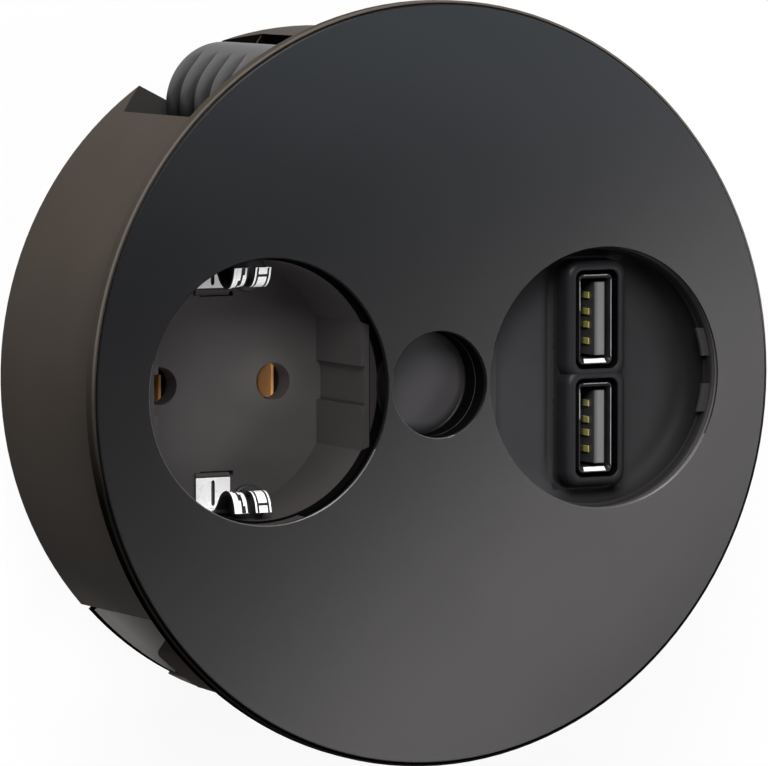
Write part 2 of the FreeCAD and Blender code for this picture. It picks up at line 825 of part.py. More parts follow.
def make_cage_screw(x, y0, z0, flip):
    y = y0 + 0.5 * cage_length
    seat = cage_height - cage_wall
    head = cyl(cage_screw_head_r, seat, seat + 1.0, x, y)
    shank = cyl(screw_r, seat - 2.6, seat, x, y)
    slot = block(x - 3, x + 3, y - 0.5 * screw_slot, y + 0.5 * screw_slot, seat + 0.5, seat + 2)
    return placed(without(joined([head, shank]), [slot]), z0, flip)


def placed(shape, z0, flip):
    copy = shape.mirror(V(0, 0, 0), V(0, 0, 1)) if flip else shape.copy()
    copy.translate(V(0, 0, z0))
    return copy


def cage_places():
    # x, start of the cage along y, height of the strip's face, screw below
    gap = 0.05
    pins = [(-hole_x + sx * pin_x, tail_end_y - 0.5, base_z - gap, False) for sx in (-1, 1)]
    return pins + [(-hole_x, earth_cage_y0(), pot_back_z - seat_gap + gap, True)]


# Ports

def port_places():
    return [(port_x, port_y + s * 0.5 * port_pitch) for s in (1, -1)]


def make_port_frame():
    x = hole_x
    body = ring(frame_r, hole_r, deck_top, flange_t, x)
    pieces = [body]
    tabs = ring(frame_r, hole_r - tab_reach, tab_z, tab_z + tab_t, x)
    for s in (-1, 1):
        y = sorted((port_y + s * tab_from, port_y + s * tab_to))
        pieces.append(tabs.common(block(x, x + frame_r, y[0], y[1], tab_z, tab_z + tab_t)))
    return without(joined(pieces), [cyl(cup_r + 2 * move_gap, deck_top - 1, flange_t + 1)])


def make_port_dish():
    top = deck_top - 0.15
    body = insert_outline(insert_out_r, flat_out_x, insert_out_r, dish_floor_z - dish_floor_t,
                          top, hole_x)
    hollow = insert_outline(insert_r, flat_x, insert_r, dish_floor_z, top + 1, hole_x)
    body = without(body, [hollow])
    pieces = [body]
    for x, y in port_places():
        pieces.append(rounded(collar_w, collar_h, 2.2, dish_floor_z - 0.5, collar_top_z, x, y))
    for sy in (-1, 1):
        y = sy * ear_y
        boss_z = deck_bottom - ear_length
        pieces.append(cyl(ear_r, boss_z, deck_bottom - seat_gap, hole_x, y))
        reach = sorted((sy * (insert_out_r - 0.5), y))
        pieces.append(block(hole_x - 0.5 * rib_t, hole_x + 0.5 * rib_t, reach[0], reach[1],
                            dish_floor_z - dish_floor_t, deck_bottom - seat_gap))
    for x in board_post_x:
        for sy in (-1, 1):
            pieces.append(cyl(board_post_r, board_top_z, dish_floor_z - 0.5,
                              x, sy * board_post_y))
    body = joined(pieces)
    tools = []
    for x, y in port_places():
        tools.append(rounded(opening_w, opening_h, 1.3, collar_top_z - opening_depth,
                             collar_top_z + 1, x, y))
        tools.append(block(x - 0.5 * shell_w - fit_gap, x + 0.5 * shell_w + fit_gap,
                           y - 0.5 * shell_h - fit_gap, y + 0.5 * shell_h + fit_gap,
                           dish_floor_z - dish_floor_t - 1, collar_top_z))
    for sy in (-1, 1):
        tools.append(cyl(screw_r + run_gap, deck_bottom - ear_length + 0.8, deck_bottom + 1,
                         hole_x, sy * ear_y))
    for x in board_post_x:
        for sy in (-1, 1):
            tools.append(cyl(screw_r + run_gap, board_top_z - 1, board_top_z + 6,
                             x, sy * board_post_y))
    return without(body, tools)


def make_port_shell(x, y):
    w = 0.5 * shell_w
    h = 0.5 * shell_h
    t = shell_t
    body = block(x - w, x + w, y - h, y + h, board_top_z, shell_top_z)
    hollow = block(x - w + t, x + w - t, y - h + t, y + h - t, board_top_z + 1.5, shell_top_z + 1)
    return without(body, [hollow])


def tongue_left(x):
    return x + 0.5 * shell_w - shell_t - tongue_side_gap - tongue_w


def make_port_tongue(x, y):
    # moulded block at the bottom of the shell with the tongue standing on it
    x0 = tongue_left(x)
    h = 0.5 * tongue_h
    w = 0.5 * shell_w - shell_t - seat_gap
    block_h = 0.5 * shell_h - shell_t - seat_gap
    foot_z = board_top_z + 1.5
    tongue = block(x0, x0 + tongue_w, y - h, y + h, foot_z, shell_top_z - tongue_set_back)
    foot = block(x - w, x + w, y - block_h, y + block_h, foot_z, foot_z + 1.2)
    return joined([tongue, foot])


def make_port_pads(x, y):
    x1 = tongue_left(x) - 0.01
    z1 = shell_top_z - tongue_set_back - pad_set_back
    pads = []
    for place in pad_places:
        pads.append(block(x1 - pad_t, x1, y + place - 0.5 * pad_width,
                          y + place + 0.5 * pad_width, z1 - pad_length, z1))
    return group(pads)


# Charger board

def make_charger_board():
    plate = block(board_x0, board_x1, -board_half_y, board_half_y,
                  board_top_z - board_t, board_top_z)
    tools = []
    for x in board_post_x:
        for sy in (-1, 1):
            tools.append(cyl(screw_r + fit_gap, board_top_z - board_t - 1, board_top_z + 1,
                             x, sy * board_post_y))
    return without(plate, tools)


def board_screws():
    under = board_top_z - board_t
    screws = []
    for x in board_post_x:
        for sy in (-1, 1):
            y = sy * board_post_y
            head = cyl(board_screw_head_r, under - board_screw_head_t, under, x, y)
            shank = cyl(screw_r, under, board_top_z + board_screw_bite, x, y)
            slot = block(x - 3, x + 3, y - 0.5 * screw_slot, y + 0.5 * screw_slot,
                         under - board_screw_head_t - 0.6, under - board_screw_head_t + 0.6)
            screws.append(without(joined([head, shank]), [slot]))
    return group(screws)


def make_transformer():
    under = board_top_z - board_t
    core = block(core_x0, core_x1, core_y0, core_y1, under - core_height, under - core_feet_t)
    coil = rounded(coil_w, coil_h, coil_round, under - core_height + coil_inset,
                   under - core_feet_t - coil_inset,
                   0.5 * (core_x0 + core_x1), 0.5 * (core_y0 + core_y1))
    feet = block(core_x0 + 1, core_x1 - 1, core_y0 - core_feet_reach, core_y1 + core_feet_reach,
                 under - core_feet_t, under)
    return joined([core, coil, feet])


def make_capacitors():
    under = board_top_z - board_t
    cans = []
    for x, y, r, length in capacitor_sizes:
        can = turned([(0, under), (r, under), (r, under - 1.2), (r - 0.3, under - 1.5),
                      (r, under - 1.8), (r, under - length + 0.4), (r - 0.4, under - length),
                      (0, under - length)], board_x0 + x, y)
        cans.append(can)
    return group(cans)


def make_choke():
    under = board_top_z - board_t
    end = under - choke_height
    return turned([(0, under), (choke_flange_r, under), (choke_flange_r, under - choke_flange_t),
                   (choke_r, under - choke_flange_t), (choke_r, end + choke_flange_t),
                   (choke_flange_r, end + choke_flange_t), (choke_flange_r, end), (0, end)],
                  board_x0 + choke_x, choke_y)


def make_chips():
    under = board_top_z - board_t
    return group([block(board_x0 + x0, board_x0 + x1, y0, y1, under - height, under)
                  for x0, x1, y0, y1, height in chip_sizes])


# Nodes

def save(name, shape):
    shape.exportStep("parts/" + name + ".step")


def main():
    os.makedirs("parts", exist_ok=True)
    save("cover_disc", make_cover_disc())
    save("hub_cup", make_hub_cup())
    save("hub_retainer", make_hub_retainer())
    save("hub_screw", make_hub_screw())
    save("flange_deck", make_flange_deck())
    save("glide_ring", make_glide_ring())
    save("friction_ring", make_friction_ring())
    save("deck_screws", group([sunk_screw(x, y, deck_top, screw_length)
                               for x, y in deck_screw_places()]))
    save("insert_screws", group([sunk_screw(x, y, deck_top, screw_length)
                                 for x, y in ear_places()]))
    save("housing_can", make_housing_can())
    save("rear_cover", make_rear_cover())
    save("rear_cover_screws", group([sunk_screw(x, y, rear_z, screw_length, -1)
                                     for x, y in deck_screw_places()]))
    save("cable_gland", make_cable_gland())
    save("locating_lug", make_locating_lug())
    save("lug_screw", make_lug_screw())
    cam = make_clamp_cam()
    spindle = make_clamp_spindle()
    for name, turn in (("upper", 0), ("lower", 180)):
        save("clamp_cam_" + name, spun(cam, turn))
        save("clamp_spindle_" + name, spun(spindle, turn))
    save("socket_insert", make_socket_insert())
    save("earth_clip_upper", make_earth_clip(1))
    save("earth_clip_lower", make_earth_clip(-1))
    save("earth_bridge", make_earth_bridge())
    save("contact_carrier", make_contact_carrier())
    save("pin_contact_left", make_pin_contact(-1))
    save("pin_contact_right", make_pin_contact(1))
    cages = cage_places()
    for name, place in zip(("left", "right", "earth"), cages):
        save("terminal_cage_" + name, make_cage(*place))
    save("terminal_screws", group([make_cage_screw(*place) for place in cages]))
    save("port_frame", make_port_frame())
    save("port_dish", make_port_dish())
    for name, place in zip(("upper", "lower"), port_places()):
        save("port_shell_" + name, make_port_shell(*place))
        save("port_tongue_" + name, make_port_tongue(*place))
        save("port_contacts_" + name, make_port_pads(*place))
    save("charger_board", make_charger_board())
    save("board_screws", board_screws())
    save("charger_transformer", make_transformer())
    save("charger_capacitors", make_capacitors())
    save("charger_choke", make_choke())
    save("charger_chips", make_chips())


main()
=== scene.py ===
import json
import math

import bmesh
import bpy
import numpy as np
from mathutils import Matrix, Quaternion, Vector

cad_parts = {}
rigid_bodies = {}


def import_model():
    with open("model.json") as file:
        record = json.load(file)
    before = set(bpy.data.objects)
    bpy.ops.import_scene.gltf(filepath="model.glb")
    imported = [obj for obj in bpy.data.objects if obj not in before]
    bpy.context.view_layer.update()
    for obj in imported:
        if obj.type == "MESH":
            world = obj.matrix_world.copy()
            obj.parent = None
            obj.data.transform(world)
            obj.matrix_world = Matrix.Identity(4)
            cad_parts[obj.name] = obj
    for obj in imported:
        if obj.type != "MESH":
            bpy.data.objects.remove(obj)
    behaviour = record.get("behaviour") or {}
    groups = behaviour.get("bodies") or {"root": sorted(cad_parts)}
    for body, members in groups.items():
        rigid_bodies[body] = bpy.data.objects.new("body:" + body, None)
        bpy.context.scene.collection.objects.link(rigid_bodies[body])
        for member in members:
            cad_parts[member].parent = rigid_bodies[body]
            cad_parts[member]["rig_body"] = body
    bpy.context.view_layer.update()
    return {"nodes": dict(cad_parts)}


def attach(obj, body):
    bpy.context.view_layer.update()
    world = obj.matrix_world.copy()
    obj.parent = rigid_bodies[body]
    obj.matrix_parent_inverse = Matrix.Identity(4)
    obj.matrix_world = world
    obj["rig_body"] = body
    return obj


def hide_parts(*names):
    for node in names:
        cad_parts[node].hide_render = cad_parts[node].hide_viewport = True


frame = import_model()
nodes = frame["nodes"]
mm = 0.001
print("frame loaded,", len(nodes), "nodes")


# Camera

cameraLook = {
    "yaw": 28.12,          # degrees round the upright of the picture
    "pitch": 4.62,
    "distance": 1036.1,    # mm from the middle of the cover
    "aside": -8.335,       # mm, how far the middle of the cover is off the optical axis
    "rise": 0.28,
    "lens": 324.6,
    "sensor": 36.0,
    "clip": (0.05, 50.0),
    "coverFront": 3.0,
}


def addObject(name, data):
    thing = bpy.data.objects.new(name, data)
    bpy.context.scene.collection.objects.link(thing)
    return thing


def makeCamera(look):
    # turned by yaw and pitch about the middle of the cover's front, and set back by the distance
    yaw, pitch = math.radians(look["yaw"]), math.radians(look["pitch"])
    turn = Matrix.Rotation(pitch, 3, "X") @ Matrix.Rotation(yaw, 3, "Y")
    place = turn.transposed() @ Vector((look["aside"], look["rise"], look["distance"]))
    place.z += look["coverFront"]
    data = bpy.data.cameras.new("camera")
    data.lens = look["lens"]
    data.sensor_width = look["sensor"]
    data.clip_start, data.clip_end = look["clip"]
    camera = addObject("camera", data)
    camera.matrix_world = Matrix.Translation(place * mm) @ turn.transposed().to_4x4()
    bpy.context.scene.camera = camera


makeCamera(cameraLook)
print("camera placed")


# Node helpers

def tone(red, green, blue):
    # an 8 bit display colour as the shader wants it
    parts = [c / 255.0 for c in (red, green, blue)]
    return tuple(((c + 0.055) / 1.055) ** 2.4 if c > 0.04045 else c / 12.92 for c in parts) + (1.0,)


def addNode(tree, kind, values=None, feeds=None, **settings):
    # a node with its settings, the fixed values of its sockets and the outputs that feed them
    node = tree.nodes.new("ShaderNode" + kind)
    for key, value in settings.items():
        setattr(node, key, value)
    for socket, value in (values or {}).items():
        node.inputs[socket].default_value = value
    for socket, source in (feeds or {}).items():
        tree.links.new(source, node.inputs[socket])
    return node


def emptyTree(owner):
    owner.use_nodes = True
    owner.node_tree.nodes.clear()
    return owner.node_tree


def newMaterial(name):
    # an empty principled surface and the Object coordinates that its patterns read
    material = bpy.data.materials.new(name)
    tree = emptyTree(material)
    shader = addNode(tree, "BsdfPrincipled")
    addNode(tree, "OutputMaterial", feeds={"Surface": shader.outputs["BSDF"]})
    return material, tree, shader, addNode(tree, "TexCoord").outputs["Object"]


def noiseOf(tree, coords, scale, detail=3.0, rough=0.55, stretch=(1.0, 1.0, 1.0)):
    mapping = addNode(tree, "Mapping", {"Scale": stretch}, {"Vector": coords})
    return addNode(tree, "TexNoise", {"Scale": scale, "Detail": detail, "Roughness": rough},
                   {"Vector": mapping.outputs["Vector"]}).outputs["Fac"]


def waveOf(tree, coords, axis, scale, wander, detail):
    return addNode(tree, "TexWave", {"Scale": scale, "Distortion": wander, "Detail": detail},
                   {"Vector": coords}, bands_direction=axis).outputs["Fac"]


def spreadOf(tree, value, low, high, start=0.3, end=0.7):
    # what lies between start and end carried over to low and high; a noise keeps mostly to its middle
    return addNode(tree, "MapRange", {"From Min": start, "From Max": end, "To Min": low, "To Max": high},
                   {"Value": value}).outputs["Result"]


def coloursOf(tree, factor, stops):
    ramp = addNode(tree, "ValToRGB", feeds={"Fac": factor})
    elements = ramp.color_ramp.elements
    elements[0].position, elements[0].color = stops[0]
    elements[1].position, elements[1].color = stops[-1]
    for place, colour in stops[1:-1]:
        elements.new(place).color = colour
    return ramp.outputs["Color"]


def placeOf(tree, coords, look):
    # 0 to 1 between two places in mm, along an axis or outwards from an upright line
    if look["along"] == "round":
        x, y = look["centre"]
        shift = addNode(tree, "Mapping", {"Location": (-x * mm, -y * mm, 0.0), "Scale": (1.0, 1.0, 0.0)},
                        {"Vector": coords})
        far = addNode(tree, "VectorMath", feeds={0: shift.outputs["Vector"]}, operation="LENGTH")
        value = far.outputs["Value"]
    else:
        value = addNode(tree, "SeparateXYZ", feeds={"Vector": coords}).outputs[look["along"]]
    return spreadOf(tree, value, 0.0, 1.0, look["from"] * mm, look["to"] * mm)


def shadedBy(tree, shader, coords, looks, plain):
    # painted light and shade: the plain colour carried over into other tones, by places or by the piece's own
    # attribute
    for look in looks:
        if "attribute" in look:
            factor = addNode(tree, "Attribute", attribute_name=look["attribute"]).outputs["Fac"]
        else:
            factor = placeOf(tree, coords, look)
        greys = coloursOf(tree, factor, [(share, (grey, grey, grey, 1.0)) for share, grey in look["stops"]])
        plain = addNode(tree, "Mix", {"Factor": 1.0}, {"A": plain, "B": greys}, data_type="RGBA",
                        blend_type="MULTIPLY").outputs["Result"]
    tree.links.new(plain, shader.inputs["Base Color"])


def bumpOf(tree, shader, height, look):
    bump = addNode(tree, "Bump", {"Strength": look["bump"], "Distance": look["depth"] * mm},
                   {"Height": height})
    tree.links.new(bump.outputs["Normal"], shader.inputs["Normal"])


# Finishes

# scales of the noises, and what the looks further down leave out
noiseLook = {"cloud": 55.0, "grain": 2600.0, "grainPart": 0.4,
             "streak": 900.0, "stretch": (1.0, 1.0, 8.0), "patch": 220.0}
usualPlastic = {"vary": 3, "uneven": 0.04, "ior": 1.5, "specular": 0.5, "depth": 0.01, "bump": 0.35,
                "shaded": ()}
usualMetal = {"metal": 1.0, "uneven": 0.25, "depth": 0.004, "bump": 0.4, "shaded": ()}
usualTape = {"turns": 160.0, "wander": 0.6, "depth": 0.05, "bump": 0.5}


def mouldedPlastic(name, changes):
    # satin moulding: cloudy colour, uneven gloss and a fine eroded grain
    look = {**usualPlastic, **changes}
    material, tree, shader, coords = newMaterial(name)
    cloud = noiseOf(tree, coords, noiseLook["cloud"])
    grain = noiseOf(tree, coords, noiseLook["grain"], 2.0)
    stops = [(place, tone(*[c + step for c in look["colour"]]))
             for place, step in ((0.3, -look["vary"]), (0.5, 0), (0.7, look["vary"]))]
    shadedBy(tree, shader, coords, look["shaded"], coloursOf(tree, cloud, stops))
    mixed = addNode(tree, "Mix", {"Factor": noiseLook["grainPart"]}, {"A": cloud, "B": grain})
    low, high = look["rough"] - look["uneven"], look["rough"] + look["uneven"]
    gloss = spreadOf(tree, mixed.outputs["Result"], low, high)
    tree.links.new(gloss, shader.inputs["Roughness"])
    shader.inputs["IOR"].default_value = look["ior"]
    shader.inputs["Specular IOR Level"].default_value = look["specular"]
    bumpOf(tree, shader, grain, look)
    return material


def brushedMetal(name, changes):
    # metal with fine streaks along one way; its gloss is uneven by a share of its roughness
    look = {**usualMetal, **changes}
    material, tree, shader, coords = newMaterial(name)
    streak = noiseOf(tree, coords, noiseLook["streak"], 4.0, 0.6, noiseLook["stretch"])
    patch = noiseOf(tree, coords, noiseLook["patch"])
    plain = coloursOf(tree, patch, [(0.3, tone(*look["dark"])), (0.7, tone(*look["light"]))])
    shadedBy(tree, shader, coords, look["shaded"], plain)
    gloss = spreadOf(tree, streak, look["rough"] * (1 - look["uneven"]), look["rough"] * (1 + look["uneven"]))
    tree.links.new(gloss, shader.inputs["Roughness"])
    shader.inputs["Metallic"].default_value = look["metal"]
    bumpOf(tree, shader, streak, look)
    return material


def circuitBoard(name, look):
    # lacquer over copper runs, from two crossed bands
    material, tree, shader, coords = newMaterial(name)
    bands = {k: waveOf(tree, coords, "XY"[k], look["runs"], look["wander"], 1.0) for k in (0, 1)}
    both = addNode(tree, "Math", feeds=bands, operation="MULTIPLY").outputs["Value"]
    colour = coloursOf(tree, both, [(0.42, tone(*look["dark"])), (0.5, tone(*look["light"]))])
    tree.links.new(colour, shader.inputs["Base Color"])
    shader.inputs["Roughness"].default_value = look["rough"]
    bumpOf(tree, shader, both, look)
    return material


def woundTape(name, changes):
    # taped or sleeved part: thin turns across its height
    look = {**usualTape, **changes}
    material, tree, shader, coords = newMaterial(name)
    wave = waveOf(tree, coords, "Z", look["turns"], look["wander"], 2.0)
    colour = coloursOf(tree, wave, [(0.2, tone(*look["dark"])), (0.8, tone(*look["light"]))])
    tree.links.new(colour, shader.inputs["Base Color"])
    shader.inputs["Roughness"].default_value = look["rough"]
    bumpOf(tree, shader, wave, look)
    return material


def bandAlong(axis, start, end, *stops):
    # painted light and shade as darker tones by the place in mm along an axis: pairs of share of the way and
    # brightness
    return {"along": axis, "from": start, "to": end, "stops": stops}


def bandRound(x, y, start, end, *stops):
    # the same by the distance in mm from an upright line
    return {"along": "round", "centre": (x, y), "from": start, "to": end, "stops": stops}


def bandOf(attribute, *stops):
    # the same by a value that the piece carries
    return {"attribute": attribute, "stops": stops}


# display colours in 8 bits, lengths in mm
plasticLooks = {
    "cover_plastic": {"name": "coverSatin", "colour": (13, 13, 14), "rough": 0.25, "uneven": 0.012,
                      "vary": 1, "depth": 0.002},
    "flange_plastic": {"name": "flangeSatin", "colour": (74, 68, 63), "rough": 0.4, "specular": 0.03},
    "insert_plastic": {"name": "insertSatin", "colour": (66, 63, 63), "rough": 0.42, "specular": 0.2},
    # the can is painted darker towards its bottom and a little at its top: painted shade
    "can_plastic": {"name": "canSatin", "colour": (84, 77, 71), "rough": 0.5, "specular": 0.01, "shaded": [
        bandAlong("Y", -50.0, 50.0, (0.0, 0.3), (0.2, 0.5), (0.36, 0.93), (0.7, 0.97), (1.0, 0.82))]},
    # the clamp drum carries painted shade in its grooves, on its side away from the window and on its top
    "clamp_plastic": {"name": "clampSatin", "colour": (106, 104, 106), "rough": 0.4, "specular": 0.15,
                      "shaded": [
        bandOf("hollow", (0.0, 1.0), (0.22, 0.7), (0.5, 0.2), (1.0, 0.03)),
        bandAlong("Y", 44.0, 50.0, (0.0, 1.0), (0.5, 0.6), (1.0, 0.3))]},
    "lug_plastic": {"name": "lugSatin", "colour": (84, 78, 75), "rough": 0.5, "specular": 0.0},
    "glide_plastic": {"name": "glideMatt", "colour": (12, 11, 11), "rough": 0.7, "specular": 0.2},
    "carrier_plastic": {"name": "carrierMatt", "colour": (30, 30, 31), "rough": 0.6},
    "gland_rubber": {"name": "glandRubber", "colour": (24, 24, 25), "rough": 0.7, "depth": 0.02},
    # the tongue is painted with a highlight on its front and painted shade on its side, across X
    "tongue_plastic": {"name": "tongueNylon", "colour": (112, 111, 112), "rough": 0.4, "vary": 5,
                       "shaded": [
        bandAlong("X", 26.4, 31.4, (0.0, 0.3), (0.6, 0.35), (0.72, 1.0), (0.88, 1.0), (1.0, 0.6))]},
    "chip_plastic": {"name": "chipResin", "colour": (22, 22, 23), "rough": 0.55},
}
metalLooks = {
    "screw_steel": {"name": "screwZinc", "dark": (150, 150, 148), "light": (186, 186, 184), "rough": 0.3},
    "spindle_steel": {"name": "spindleZinc", "dark": (146, 144, 140), "light": (180, 178, 174),
                      "rough": 0.35},
    "clip_steel": {"name": "clipChrome", "dark": (226, 226, 224), "light": (240, 240, 240), "rough": 0.12,
                   "depth": 0.001},
    "contact_brass": {"name": "contactBrass", "dark": (214, 156, 98), "light": (228, 172, 112),
                      "rough": 0.5, "metal": 0.12},
    "cage_steel": {"name": "cageZinc", "dark": (140, 140, 138), "light": (172, 172, 170), "rough": 0.4},
    "shell_steel": {"name": "shellNickel", "dark": (206, 206, 204), "light": (228, 228, 227), "rough": 0.2,
                    "depth": 0.002},
    # the contacts carry painted shade deeper in and a painted highlight near their front ends
    "pad_gold": {"name": "padGoldPaintedLight", "dark": (214, 204, 110), "light": (236, 226, 150),
                 "rough": 0.35, "metal": 0.3,
                 "shaded": [bandAlong("Z", -8.0, -3.0, (0.0, 0.1), (0.66, 0.2), (0.76, 0.75), (1.0, 0.8))]},
}
tapeLooks = {
    "choke_ferrite": {"name": "chokeWire", "dark": (120, 62, 30), "light": (176, 104, 52), "rough": 0.35},
    "transformer_wrap": {"name": "transformerTape", "dark": (196, 160, 60), "light": (222, 190, 92),
                         "rough": 0.45},
    "capacitor_sleeve": {"name": "capacitorSleeve", "dark": (26, 30, 46), "light": (34, 40, 60),
                         "rough": 0.35},
}
boardLooks = {
    "board_laminate": {"name": "boardLacquer", "dark": (18, 62, 40), "light": (30, 92, 58), "rough": 0.35,
                       "runs": 95.0, "wander": 6.0, "depth": 0.03, "bump": 0.4},
}
finishes = {slotName: make(look["name"], look)
            for make, looks in ((mouldedPlastic, plasticLooks), (brushedMetal, metalLooks),
                                (woundTape, tapeLooks), (circuitBoard, boardLooks))
            for slotName, look in looks.items()}

# other tones of the same mouldings and metals, for faces that are painted; most are painted shade, shadow,
# highlight and reflection
plasticShades = {
    # painted shadow: black where hollows and gaps lie in shade
    "paintedShadowBlack": {"colour": (10, 10, 10), "rough": 0.7, "specular": 0.0, "vary": 2},
    "coverWall": {"colour": (14, 14, 15), "rough": 0.4, "specular": 0.3, "vary": 1},
    # painted shade inside the can
    "canInsideShade": {"colour": (32, 30, 29), "rough": 0.6, "specular": 0.2},
    # painted light on the rear cover's plate in the bay, with painted shade towards its inner part
    "bayPlate": {"colour": (172, 169, 167), "rough": 0.5, "specular": 0.2, "shaded": [
        bandRound(0.0, 0.0, 46.0, 52.0, (0.0, 0.35), (0.5, 0.6), (0.85, 0.8), (1.0, 0.7))]},
    # the ledge round the mains well in its own tone, with painted shadow beyond it under the cover
    "recess": {"colour": (43, 40, 40), "rough": 0.45, "specular": 0.04, "shaded": [
        bandRound(-28.5, 0.0, 19.5, 19.7, (0.0, 1.0), (1.0, 0.05))]},
    # painted light and shade over the charging dish: lighter left of the collars, darker by the collars,
    # towards the wall and at the top
    "dishLightAndShade": {"colour": (80, 79, 81), "rough": 0.5, "specular": 0.05, "shaded": [
        bandAlong("X", 11.0, 47.0, (0.0, 0.63), (0.28, 0.6), (0.36, 0.38), (0.62, 0.4), (1.0, 0.55)),
        bandRound(24.0, -2.0, 17.0, 23.0, (0.0, 1.0), (1.0, 0.3)),
        bandAlong("Y", -16.0, 16.0, (0.0, 1.0), (0.5, 0.98), (1.0, 0.82))]},
    "collarSatin": {"colour": (34, 33, 35), "rough": 0.42, "specular": 0.2, "vary": 2},
    # black for the block beside each nose, put where there is shade, and painted dark reflection on the clips
    "darkShadeAndReflection": {"colour": (36, 35, 36), "rough": 0.4, "specular": 0.3, "vary": 1},
    # painted light on the finger recess's floor, with painted shadow near its edge
    "hubFloorLit": {"colour": (69, 67, 69), "rough": 0.4, "specular": 0.2, "vary": 1, "shaded": [
        bandRound(0.2, 0.3, 6.5, 8.0, (0.0, 1.0), (1.0, 0.05))]},
    # painted highlight on bevels
    "edgeHighlight": {"colour": (88, 86, 88), "rough": 0.3, "specular": 0.5, "vary": 1},
    # the port frame's own tone, also used as a painted highlight on the seam in the finger recess
    "frameSatin": {"colour": (60, 58, 58), "rough": 0.45, "specular": 0.06},
    # painted shade on the frame's inner wall, darker deeper down
    "frameWall": {"colour": (82, 80, 80), "rough": 0.45, "specular": 0.06, "shaded": [
        bandAlong("Z", 0.5, 2.0, (0.0, 0.3), (0.2, 0.3), (0.6, 0.65), (0.85, 1.0))]},
    # painted light on the cover's walls by the charging well, darker towards the top as painted shade
    "portWall": {"colour": (108, 106, 106), "rough": 0.45, "specular": 0.06, "shaded": [
        bandAlong("Y", -14.0, 16.0, (0.0, 1.0), (0.55, 1.0), (1.0, 0.3))]},
    "potTop": {"colour": (52, 50, 50), "rough": 0.45, "specular": 0.06},
    "potSatin": {"colour": (66, 63, 63), "rough": 0.42, "specular": 0.2},
    # painted light on the flange's lip at the top, painted shade towards the bottom
    "lipLight": {"colour": (98, 92, 87), "rough": 0.4, "specular": 0.02, "shaded": [
        bandAlong("Y", -12.0, 20.0, (0.0, 0.03), (0.35, 0.25), (0.65, 0.8), (1.0, 1.0))]},
    # painted shade on the flange's outer side, darker towards the bottom
    "rimSideShade": {"colour": (80, 74, 68), "rough": 0.5, "specular": 0.0, "shaded": [
        bandAlong("Y", -28.0, 8.0, (0.0, 0.015), (0.35, 0.06), (1.0, 1.0))]},
}
metalShades = {
    # painted highlight and reflection, near white
    "clipBright": {"dark": (253, 253, 253), "light": (255, 255, 255), "rough": 0.3, "metal": 0.1,
                   "depth": 0.001},
    # painted highlight on the shells' top edges
    "shellEdgeHighlight": {"dark": (120, 120, 122), "light": (140, 140, 142), "rough": 0.3, "metal": 0.2},
    # painted shade inside the shells
    "shellInsideShade": {"dark": (26, 26, 28), "light": (36, 36, 38), "rough": 0.4, "metal": 0.3},
}
shades = {name: make(name, look)
          for make, looks in ((mouldedPlastic, plasticShades), (brushedMetal, metalShades))
          for name, look in looks.items()}

slotMembers = {
    "cover_plastic": ("cover_disc", "hub_cup"),
    "flange_plastic": ("flange_deck",),
    "insert_plastic": ("socket_insert", "port_frame", "port_dish"),
    "can_plastic": ("housing_can", "rear_cover"),
    "clamp_plastic": ("clamp_cam_upper", "clamp_cam_lower"),
    "lug_plastic": ("locating_lug",),
    "glide_plastic": ("glide_ring", "friction_ring"),
    "carrier_plastic": ("contact_carrier",),
    "gland_rubber": ("cable_gland",),
    "screw_steel": ("hub_retainer", "hub_screw", "deck_screws", "insert_screws", "rear_cover_screws",
                    "lug_screw", "terminal_screws", "board_screws"),
    "spindle_steel": ("clamp_spindle_upper", "clamp_spindle_lower"),
    "clip_steel": ("earth_clip_upper", "earth_clip_lower"),
    "contact_brass": ("earth_bridge", "pin_contact_left", "pin_contact_right"),
    "cage_steel": ("terminal_cage_left", "terminal_cage_right", "terminal_cage_earth"),
    "shell_steel": ("port_shell_upper", "port_shell_lower"),
    "tongue_plastic": ("port_tongue_upper", "port_tongue_lower"),
    "pad_gold": ("port_contacts_upper", "port_contacts_lower"),
    "board_laminate": ("charger_board",),
    "transformer_wrap": ("charger_transformer",),
    "capacitor_sleeve": ("charger_capacitors",),
    "choke_ferrite": ("charger_choke",),
    "chip_plastic": ("charger_chips",),
}
slotOf = {member: slotName for slotName, members in slotMembers.items() for member in members}
for member, slotName in slotOf.items():
    nodes[member].data.materials.clear()
    nodes[member].data.materials.append(finishes[slotName])
print("finishes made:", len(finishes))


# Mesh helpers

bothEnds = (("Upper", 1), ("Lower", -1))      # the two of a pair, each with its side
allFaces = slice(None)

# mm within which points are one, and degrees: faces that are one, and edges that are rounded
meshLook = {"join": 0.002, "joinCopy": 0.001, "oneFace": 0.4, "roundFrom": 40.0}


def bodyOf(node):
    return nodes[node]["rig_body"]


def finishPiece(piece, body, slotName, smoothDegrees):
    piece.data.materials.clear()
    piece.data.materials.append(finishes[slotName])
    piece.data.shade_smooth()
    piece.data.set_sharp_from_angle(angle=math.radians(smoothDegrees))
    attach(piece, body)
    return piece


def surfacePiece(name, points, faces, body, slotName, smoothDegrees=35.0):
    # points in mm; doubles are merged and the faces turned outwards
    mesh = bpy.data.meshes.new(name)
    mesh.from_pydata((np.asarray(points, float) * mm).tolist(), [], np.asarray(faces).tolist())
    shape = bmesh.new()
    shape.from_mesh(mesh)
    bmesh.ops.remove_doubles(shape, verts=shape.verts, dist=meshLook["join"] * mm)
    bmesh.ops.recalc_face_normals(shape, faces=shape.faces)
    shape.to_mesh(mesh)
    shape.free()
    return finishPiece(addObject(name, mesh), body, slotName, smoothDegrees)


